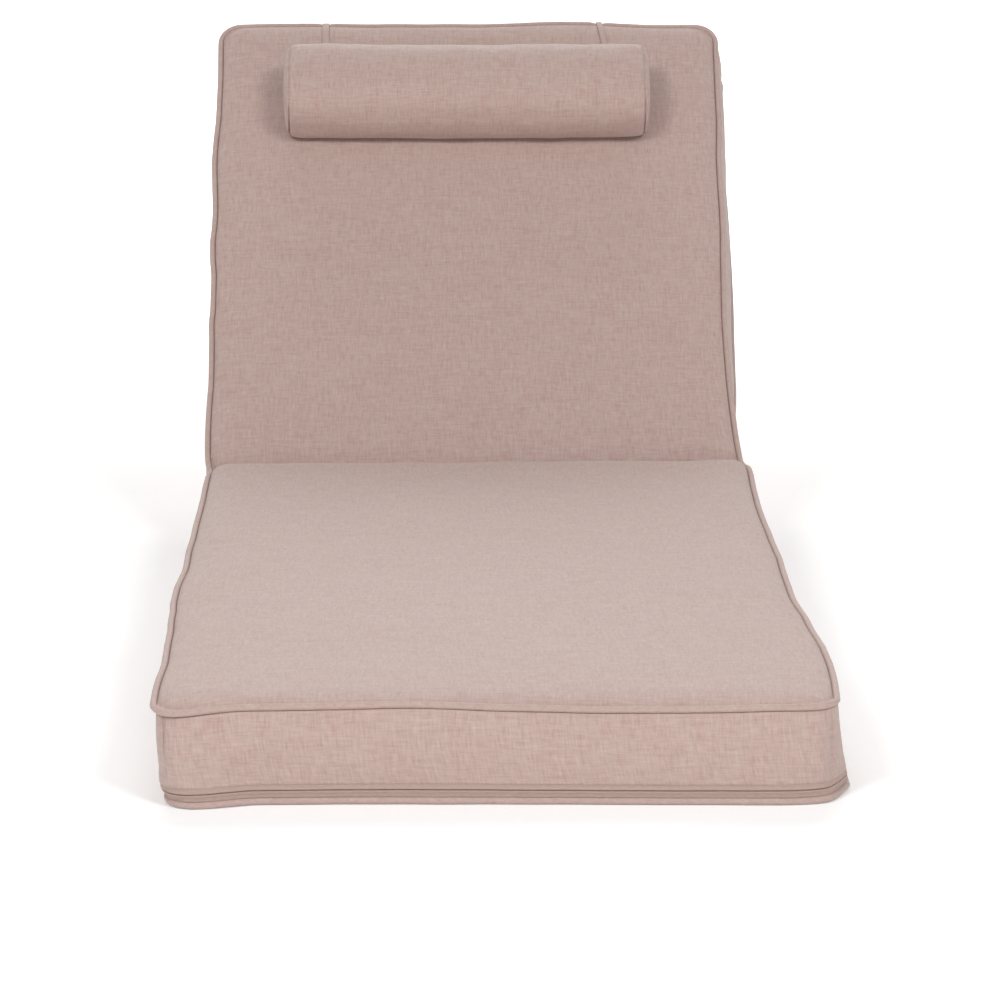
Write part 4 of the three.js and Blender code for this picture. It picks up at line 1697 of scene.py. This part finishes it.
def plug(tree: bpy.types.NodeTree, node: bpy.types.Node, inputs: dict[Any, Any]) -> None:
    """Joins signals to a node's inputs, or sets the inputs to plain values.

    Args:
        tree: the node tree.
        node: the node.
        inputs: signals or values by the input's name or number.
    """
    for key, value in inputs.items():
        if isinstance(value, Signal):
            tree.links.new(value.socket, node.inputs[key])
        else:
            node.inputs[key].default_value = value


class Paint:
    """Builds one procedural material."""

    def __init__(self, name: str) -> None:
        """Starts a material with an empty surface.

        Args:
            name: name of the material.
        """
        self.material = bpy.data.materials.new(name)
        self.material.use_nodes = True
        self.tree = self.material.node_tree
        self.tree.nodes.clear()

    def add(self, kind: str, inputs: dict[Any, Any], **settings: Any) -> bpy.types.Node:
        """Adds any node.

        Args:
            kind: the node's type.
            inputs: signals or values by the input's name or number.
            settings: the node's own properties, which are set first.

        Returns:
            The node.
        """
        node = self.tree.nodes.new(kind)
        for key, value in settings.items():
            setattr(node, key, value)
        plug(self.tree, node, inputs)
        return node

    def node(self, kind: str, inputs: dict[Any, Any], output: Any = 0, **settings: Any) -> Signal:
        """Adds any node, and gives the output of that name or number."""
        return Signal(self.tree, self.add(kind, inputs, **settings).outputs[output])

    def cloth_place(self) -> tuple[Signal, Signal]:
        """Reads the place on the flat cloth.

        Returns:
            Its two coordinates, in metres.
        """
        flat = self.node("ShaderNodeUVMap", {}, uv_map=CLOTH_MAP)
        parts = self.add("ShaderNodeSeparateXYZ", {0: flat})
        return Signal(self.tree, parts.outputs["X"]), Signal(self.tree, parts.outputs["Y"])

    def place(self, x: Any, y: Any, z: Any = 0.0) -> Signal:
        """A place from its three coordinates."""
        return self.node("ShaderNodeCombineXYZ", {0: x, 1: y, 2: z})

    def noise(self, place: Signal, scale: float = 1.0, detail: float = 0.0) -> Signal:
        """Noise from 0 to 1 at a place, finer the larger the scale."""
        return self.node("ShaderNodeTexNoise", {"Vector": place, "Scale": scale, "Detail": detail})

    def mix(self, share: Any, first: Any, second: Any) -> Signal:
        """A colour between two colours."""
        inputs = {0: share, 6: first, 7: second}
        return self.node("ShaderNodeMix", inputs, output=2, data_type="RGBA")

    def bump(self, height: Signal, distance: float, strength: float = 1.0) -> Signal:
        """A bumped normal from a height of 0 to 1 over a distance in metres."""
        inputs = {"Height": height, "Distance": distance, "Strength": strength}
        return self.node("ShaderNodeBump", inputs)

    def finish(self, inputs: dict[str, Any]) -> bpy.types.Material:
        """Ends the material with its surface.

        Args:
            inputs: signals or values by the name of the surface's input.

        Returns:
            The material.
        """
        surface = self.node("ShaderNodeBsdfPrincipled", {"Specular IOR Level": 0.4} | inputs)
        self.add("ShaderNodeOutputMaterial", {"Surface": surface})
        return self.material


Color = tuple[float, float, float, float]


def tint(red: int, green: int, blue: int) -> Color:
    """A display colour of 0 to 255 as light: ((v + 0.055) / 1.055) to the power of 2.4, roughly."""
    return tuple(((v / 255 + 0.055) / 1.055) ** 2.4 for v in (red, green, blue)) + (1.0,)


def blend(noises: tuple[Signal, ...], weights: tuple[float, ...]) -> Signal:
    """Sum of noises, each taken about its middle value and times its weight."""
    parts = [(noise - 0.5) * weight for noise, weight in zip(noises, weights)]
    return sum(parts[1:], parts[0])


@dataclass(frozen=True)
class MelangeCloth:
    """Plain-woven cloth of uneven threads, in two tones that differ a little.

    Attributes:
        name: name of the material.
        pale: colour of the pale pink threads.
        dark: colour of the dark pink threads.
        grey_pale: colour of the pale grey threads.
        grey_dark: colour of the dark grey threads.
        pitch: distance between threads.
        slub: width of the thicker threads that stand out by their tone.
        run: length over which a thread's tone changes.
        bundle: number of slubs that share a streak.
        streak: length of a streak, in runs.
        apart: step through the noise from one thread to the next.
        layers: place in the noise of the warp, the weft, the warp's streaks and the weft's.
        slub_weights: how much the slubs of warp and weft change the tone.
        streak_weights: how much the streaks of warp and weft change it.
        hue_weights: how much the streaks of warp and weft and the warp's slubs change the hue.
        greyness: even share of the grey threads.
        most_grey: largest share of them.
        contrast: how much of the change of tone shows.
        relief_weights: height of the weave and of the slubs.
        relief: depth of the surface.
        relief_strength: how much of it shows.
        roughness: roughness of the surface.
        sheen: weight of its sheen.
        bias: whether the cloth is cut at 45 degrees to its threads.
    """

    name: str
    pale: Color = (0.60, 0.431, 0.386, 1.0)
    dark: Color = (0.43, 0.289, 0.252, 1.0)
    grey_pale: Color = (0.575, 0.450, 0.400, 1.0)
    grey_dark: Color = (0.41, 0.310, 0.268, 1.0)
    pitch: float = 0.95 * MM
    slub: float = 1.1 * MM
    run: float = 13 * MM
    bundle: float = 3.0
    streak: float = 2.4
    apart: float = 0.731
    layers: tuple[float, float, float, float] = (3.1, 8.7, 14.2, 21.6)
    slub_weights: tuple[float, float] = (1.05, 0.9)
    streak_weights: tuple[float, float] = (0.35, 0.25)
    hue_weights: tuple[float, float, float] = (0.9, 0.5, 0.9)
    greyness: float = 0.38
    most_grey: float = 0.8
    contrast: float = 0.95
    relief_weights: tuple[float, float] = (0.6, 0.8)
    relief: float = 0.35 * MM
    relief_strength: float = 0.55
    roughness: float = 0.7
    sheen: float = 0.2
    bias: bool = False

    def make(self) -> bpy.types.Material:
        """Makes the material.

        Slubs are threads whose tone wanders along them, one set each way, and bundles of threads share a
        fainter, longer streak. At each crossing of the weave the warp or the weft lies on top by turns.

        Returns:
            The material.
        """
        paint = Paint(self.name)
        u, v = paint.cloth_place()
        if self.bias:
            u, v = (u + v) * math.sqrt(0.5), (v - u) * math.sqrt(0.5)
        bundle, streak = self.slub * self.bundle, self.run * self.streak
        places = (
            (self.count(u, self.slub) * self.apart, v / self.run),
            (u / self.run, self.count(v, self.slub) * self.apart),
            (u / bundle, v / streak),
            (u / streak, v / bundle),
        )
        details = (1.0, 1.0, 0.0, 0.0)
        warp, weft, warp_streak, weft_streak = (
            paint.noise(paint.place(*place, layer), detail=detail)
            for place, layer, detail in zip(places, self.layers, details)
        )
        slubs = blend((warp, weft), self.slub_weights)
        streaks = blend((warp_streak, weft_streak), self.streak_weights)
        tone = ((slubs + streaks) * self.contrast + 0.5).clamped(0.0, 1.0)
        hue = blend((warp_streak, weft_streak, warp), self.hue_weights) + self.greyness
        pink, grey = paint.mix(tone, self.dark, self.pale), paint.mix(tone, self.grey_dark, self.grey_pale)
        color = paint.mix(hue.clamped(0.0, self.most_grey), pink, grey)
        over = (self.count(u, self.pitch) + self.count(v, self.pitch)) % 2.0
        woven = self.rounded(u) * over + self.rounded(v) * (1.0 - over)
        height = woven * self.relief_weights[0] + slubs * self.relief_weights[1]
        inputs = {"Base Color": color, "Roughness": self.roughness, "Sheen Weight": self.sheen}
        inputs |= {"Sheen Roughness": 0.6, "Normal": paint.bump(height, self.relief, self.relief_strength)}
        return paint.finish(inputs)

    def count(self, along: Signal, width: float) -> Signal:
        """The number of the thread at a place: the place over the thread's width, rounded down."""
        return along.math("FLOOR", along / width)

    def rounded(self, along: Signal) -> Signal:
        """Height of a round thread across its width: the size of the sine of half a turn."""
        turn = along * (math.pi / self.pitch)
        return turn.math("ABSOLUTE", turn.math("SINE", turn))


@dataclass(frozen=True)
class WovenTape:
    """The zip's dense matt tape, with fine ribs along it.

    Attributes:
        name: name of the material.
        pale: its pale tone.
        dark: its dark tone.
        pitch: distance between ribs.
        fleck: length and width of its uneven flecks.
        relief: depth of the ribs.
    """

    name: str = "woven_tape"
    pale: Color = tint(192, 168, 158)
    dark: Color = tint(168, 142, 132)
    pitch: float = 0.8 * MM
    fleck: tuple[float, float] = (6 * MM, 1.2 * MM)
    relief: float = 0.12 * MM

    def make(self) -> bpy.types.Material:
        """Mixes its two tones by flecks drawn out along it, and raises its ribs.

        Returns:
            The material.
        """
        paint = Paint(self.name)
        u, v = paint.cloth_place()
        turn = v * (2 * math.pi / self.pitch)
        rib = turn.math("SINE", turn)
        flecks = paint.noise(paint.place(u / self.fleck[0], v / self.fleck[1]), detail=2.0)
        inputs = {"Base Color": paint.mix(flecks, self.dark, self.pale), "Roughness": 0.85}
        inputs |= {"Normal": paint.bump(rib * 0.5 + flecks, self.relief)}
        return paint.finish(inputs | {"Sheen Weight": 0.1, "Sheen Roughness": 0.6})


@dataclass(frozen=True)
class NylonCoil:
    """The moulded teeth of the zip, faintly shiny.

    Attributes:
        name: name of the material.
        pale: its pale tone.
        dark: its dark tone.
        fineness: how fine its flecks are.
    """

    name: str = "nylon_coil"
    pale: Color = tint(176, 154, 144)
    dark: Color = tint(150, 128, 118)
    fineness: float = 260.0

    def make(self) -> bpy.types.Material:
        """Mixes its two tones by fine flecks.

        Returns:
            The material.
        """
        paint = Paint(self.name)
        place = paint.node("ShaderNodeTexCoord", {}, output="Object")
        tone = paint.noise(place, self.fineness, 2.0)
        return paint.finish({"Base Color": paint.mix(tone, self.dark, self.pale), "Roughness": 0.5})


@dataclass(frozen=True)
class PaleFloor:
    """The plain white floor of the studio, which gives a little light of its own, and more far behind.

    Attributes:
        name: name of the material.
        color: its own colour.
        near: light that it gives round the cushion.
        far: light that it gives behind the cushion.
        grading: places along y where that change starts and ends.
    """

    name: str = "pale_floor"
    color: Color = (0.93, 0.93, 0.93, 1.0)
    near: Color = (0.16, 0.16, 0.16, 1.0)
    far: Color = (0.7, 0.7, 0.7, 1.0)
    grading: tuple[float, float] = (1.0, 3.5)

    def make(self) -> bpy.types.Material:
        """Mixes the two lights by (y - start) / (end - start), held from 0 to 1.

        Returns:
            The material.
        """
        paint = Paint(self.name)
        start, end = self.grading
        place = paint.node("ShaderNodeTexCoord", {}, output="Object")
        y = paint.node("ShaderNodeSeparateXYZ", {0: place}, output="Y")
        share = ((y - start) / (end - start)).clamped(0.0, 1.0)
        inputs = {"Base Color": self.color, "Roughness": 0.9, "Specular IOR Level": 0.1}
        inputs |= {"Emission Color": paint.mix(share, self.near, self.far), "Emission Strength": 1.0}
        return paint.finish(inputs)


@dataclass(frozen=True)
class Lamp:
    """A round softbox turned to the middle of the cushion.

    Attributes:
        name: name of the lamp.
        azimuth: where it stands, in degrees from the foot end towards +X.
        height: degrees above the floor.
        distance: from the cushion, in metres.
        spread: how broad it looks, in degrees.
        power: light that it throws square on at that distance, in watts per square metre.
        aim: height of the middle of the cushion, which it is turned to.
    """

    name: str
    azimuth: float
    height: float
    distance: float
    spread: float
    power: float
    aim: float = 0.2

    def hang(self) -> None:
        """Puts the lamp in the scene. Its watts are four times its light times the distance squared."""
        lamp = bpy.data.lights.new(self.name, "AREA")
        lamp.shape = "DISK"
        lamp.size = 2 * self.distance * math.tan(math.radians(self.spread / 2))
        lamp.energy = 4 * self.power * self.distance**2
        turn, tilt = math.radians(self.azimuth), math.radians(self.height)
        reach = self.distance * math.cos(tilt)
        hung = bpy.data.objects.new(self.name, lamp)
        up = self.aim + self.distance * math.sin(tilt)
        hung.location = (reach * math.sin(turn), -reach * math.cos(turn), up)
        hung.rotation_euler = (math.pi / 2 - tilt, 0, turn)
        bpy.context.scene.collection.objects.link(hung)


@dataclass
class Studio:
    """Floor, light and camera.

    Attributes:
        camera_at: place of the camera.
        pitch: how far it looks down.
        yaw: how far it is turned towards +X.
        focal_share: focal length over the picture's height.
        sensor: width of the camera's sensor, in millimetres.
        seen: nearest and farthest distance that the camera sees.
        sky: strength of the even light from all round.
        floor_reach: from the middle of the floor to its sides.
        floor_drop: gap between the cushion and the floor.
        lamps: the softboxes.
    """

    camera_at: tuple[float, float, float] = (-0.084, -4.688, 1.055)
    pitch: float = math.radians(10.63)
    yaw: float = math.radians(1.23)
    focal_share: float = 4.453
    sensor: float = 36.0
    seen: tuple[float, float] = (0.1, 200.0)
    sky: float = 0.36
    floor_reach: float = 30.0
    floor_drop: float = 0.4 * MM
    lamps: tuple[Lamp, ...] = (
        Lamp("left_softbox", azimuth=-31, height=38, distance=6.0, spread=15, power=0.80),
        Lamp("right_softbox", azimuth=31, height=38, distance=6.0, spread=15, power=0.80),
        Lamp("rear_softbox", azimuth=180, height=40, distance=9.0, spread=40, power=1.2),
    )

    def floor(self) -> None:
        """Lays a wide plain floor just below the cushion."""
        corners = np.array([[-1, -1, 0], [1, -1, 0], [1, 1, 0], [-1, 1, 0]]) * self.floor_reach
        corners[:, 2] = -self.floor_drop
        sheet = Surface(corners, corners[:, :2], np.array([[0, 1, 2, 3]]))
        sheet.make("floor", PaleFloor().make())

    def light(self) -> None:
        """A bright even sky and the soft lamps."""
        world = bpy.data.worlds.new("soft_sky")
        world.use_nodes = True
        background = world.node_tree.nodes["Background"]
        background.inputs["Color"].default_value = (1.0, 1.0, 1.0, 1.0)
        background.inputs["Strength"].default_value = self.sky
        bpy.context.scene.world = world
        for lamp in self.lamps:
            lamp.hang()

    def camera(self) -> None:
        """Stands the camera where the photograph was taken from."""
        lens = bpy.data.cameras.new("camera")
        lens.sensor_width = self.sensor
        lens.lens = self.focal_share * self.sensor
        lens.clip_start, lens.clip_end = self.seen
        camera = bpy.data.objects.new("camera", lens)
        camera.location = self.camera_at
        camera.rotation_euler = (math.pi / 2 - self.pitch, 0, -self.yaw)
        bpy.context.scene.collection.objects.link(camera)
        bpy.context.scene.camera = camera

    def build(self) -> None:
        """Sets up the whole studio."""
        self.floor()
        self.light()
        self.camera()
        bpy.context.scene.view_settings.view_transform = "Standard"


class LoungerCushion:
    """The whole object: the sizes of the cushion and the pieces sewn to it."""

    def __init__(self) -> None:
        """Sets out the pieces from the one shape."""
        self.shape = CushionShape()
        self.cover = FilledCover(self.shape)
        self.zip = Zip(FootStrip(self.shape, self.cover))
        self.pillow = HeadPillow(self.shape, self.cover)
        right = {"slant": 0.12, "width": 7.6 * MM, "thickness": 1.7 * MM}
        self.straps = [
            Strap(self.shape, self.pillow, "left_strap", "strap_left", -185 * MM),
            Strap(self.shape, self.pillow, "right_strap", "strap_right", 170 * MM, **right),
        ]
        shape, dents = self.shape, tuple(strap.dent for strap in self.straps)
        self.pipings = [
            Piping(shape, "upper_piping", "top_piping", shape.top_piping, shape.top_seam, dents),
            Piping(shape, "lower_piping", "bottom_piping", shape.bottom_piping, shape.bottom_seam),
        ]

    def dress(self) -> None:
        """Makes every piece in its own finish."""
        cloth = MelangeCloth("cover_cloth").make()
        bias = MelangeCloth("piping_cloth", contrast=0.7, bias=True).make()
        band = MelangeCloth("strap_cloth", pitch=0.8 * MM, contrast=0.6).make()
        self.cover.build(cloth)
        for piping in self.pipings:
            piping.build(bias)
        self.zip.build(WovenTape().make(), NylonCoil().make())
        self.pillow.build(cloth)
        for strap in self.straps:
            strap.build(band)


def main() -> None:
    """Dresses the frame and sets up the studio."""
    logging.basicConfig(level=logging.INFO)
    LoungerCushion().dress()
    Studio().build()


if __name__ == "__main__":
    main()
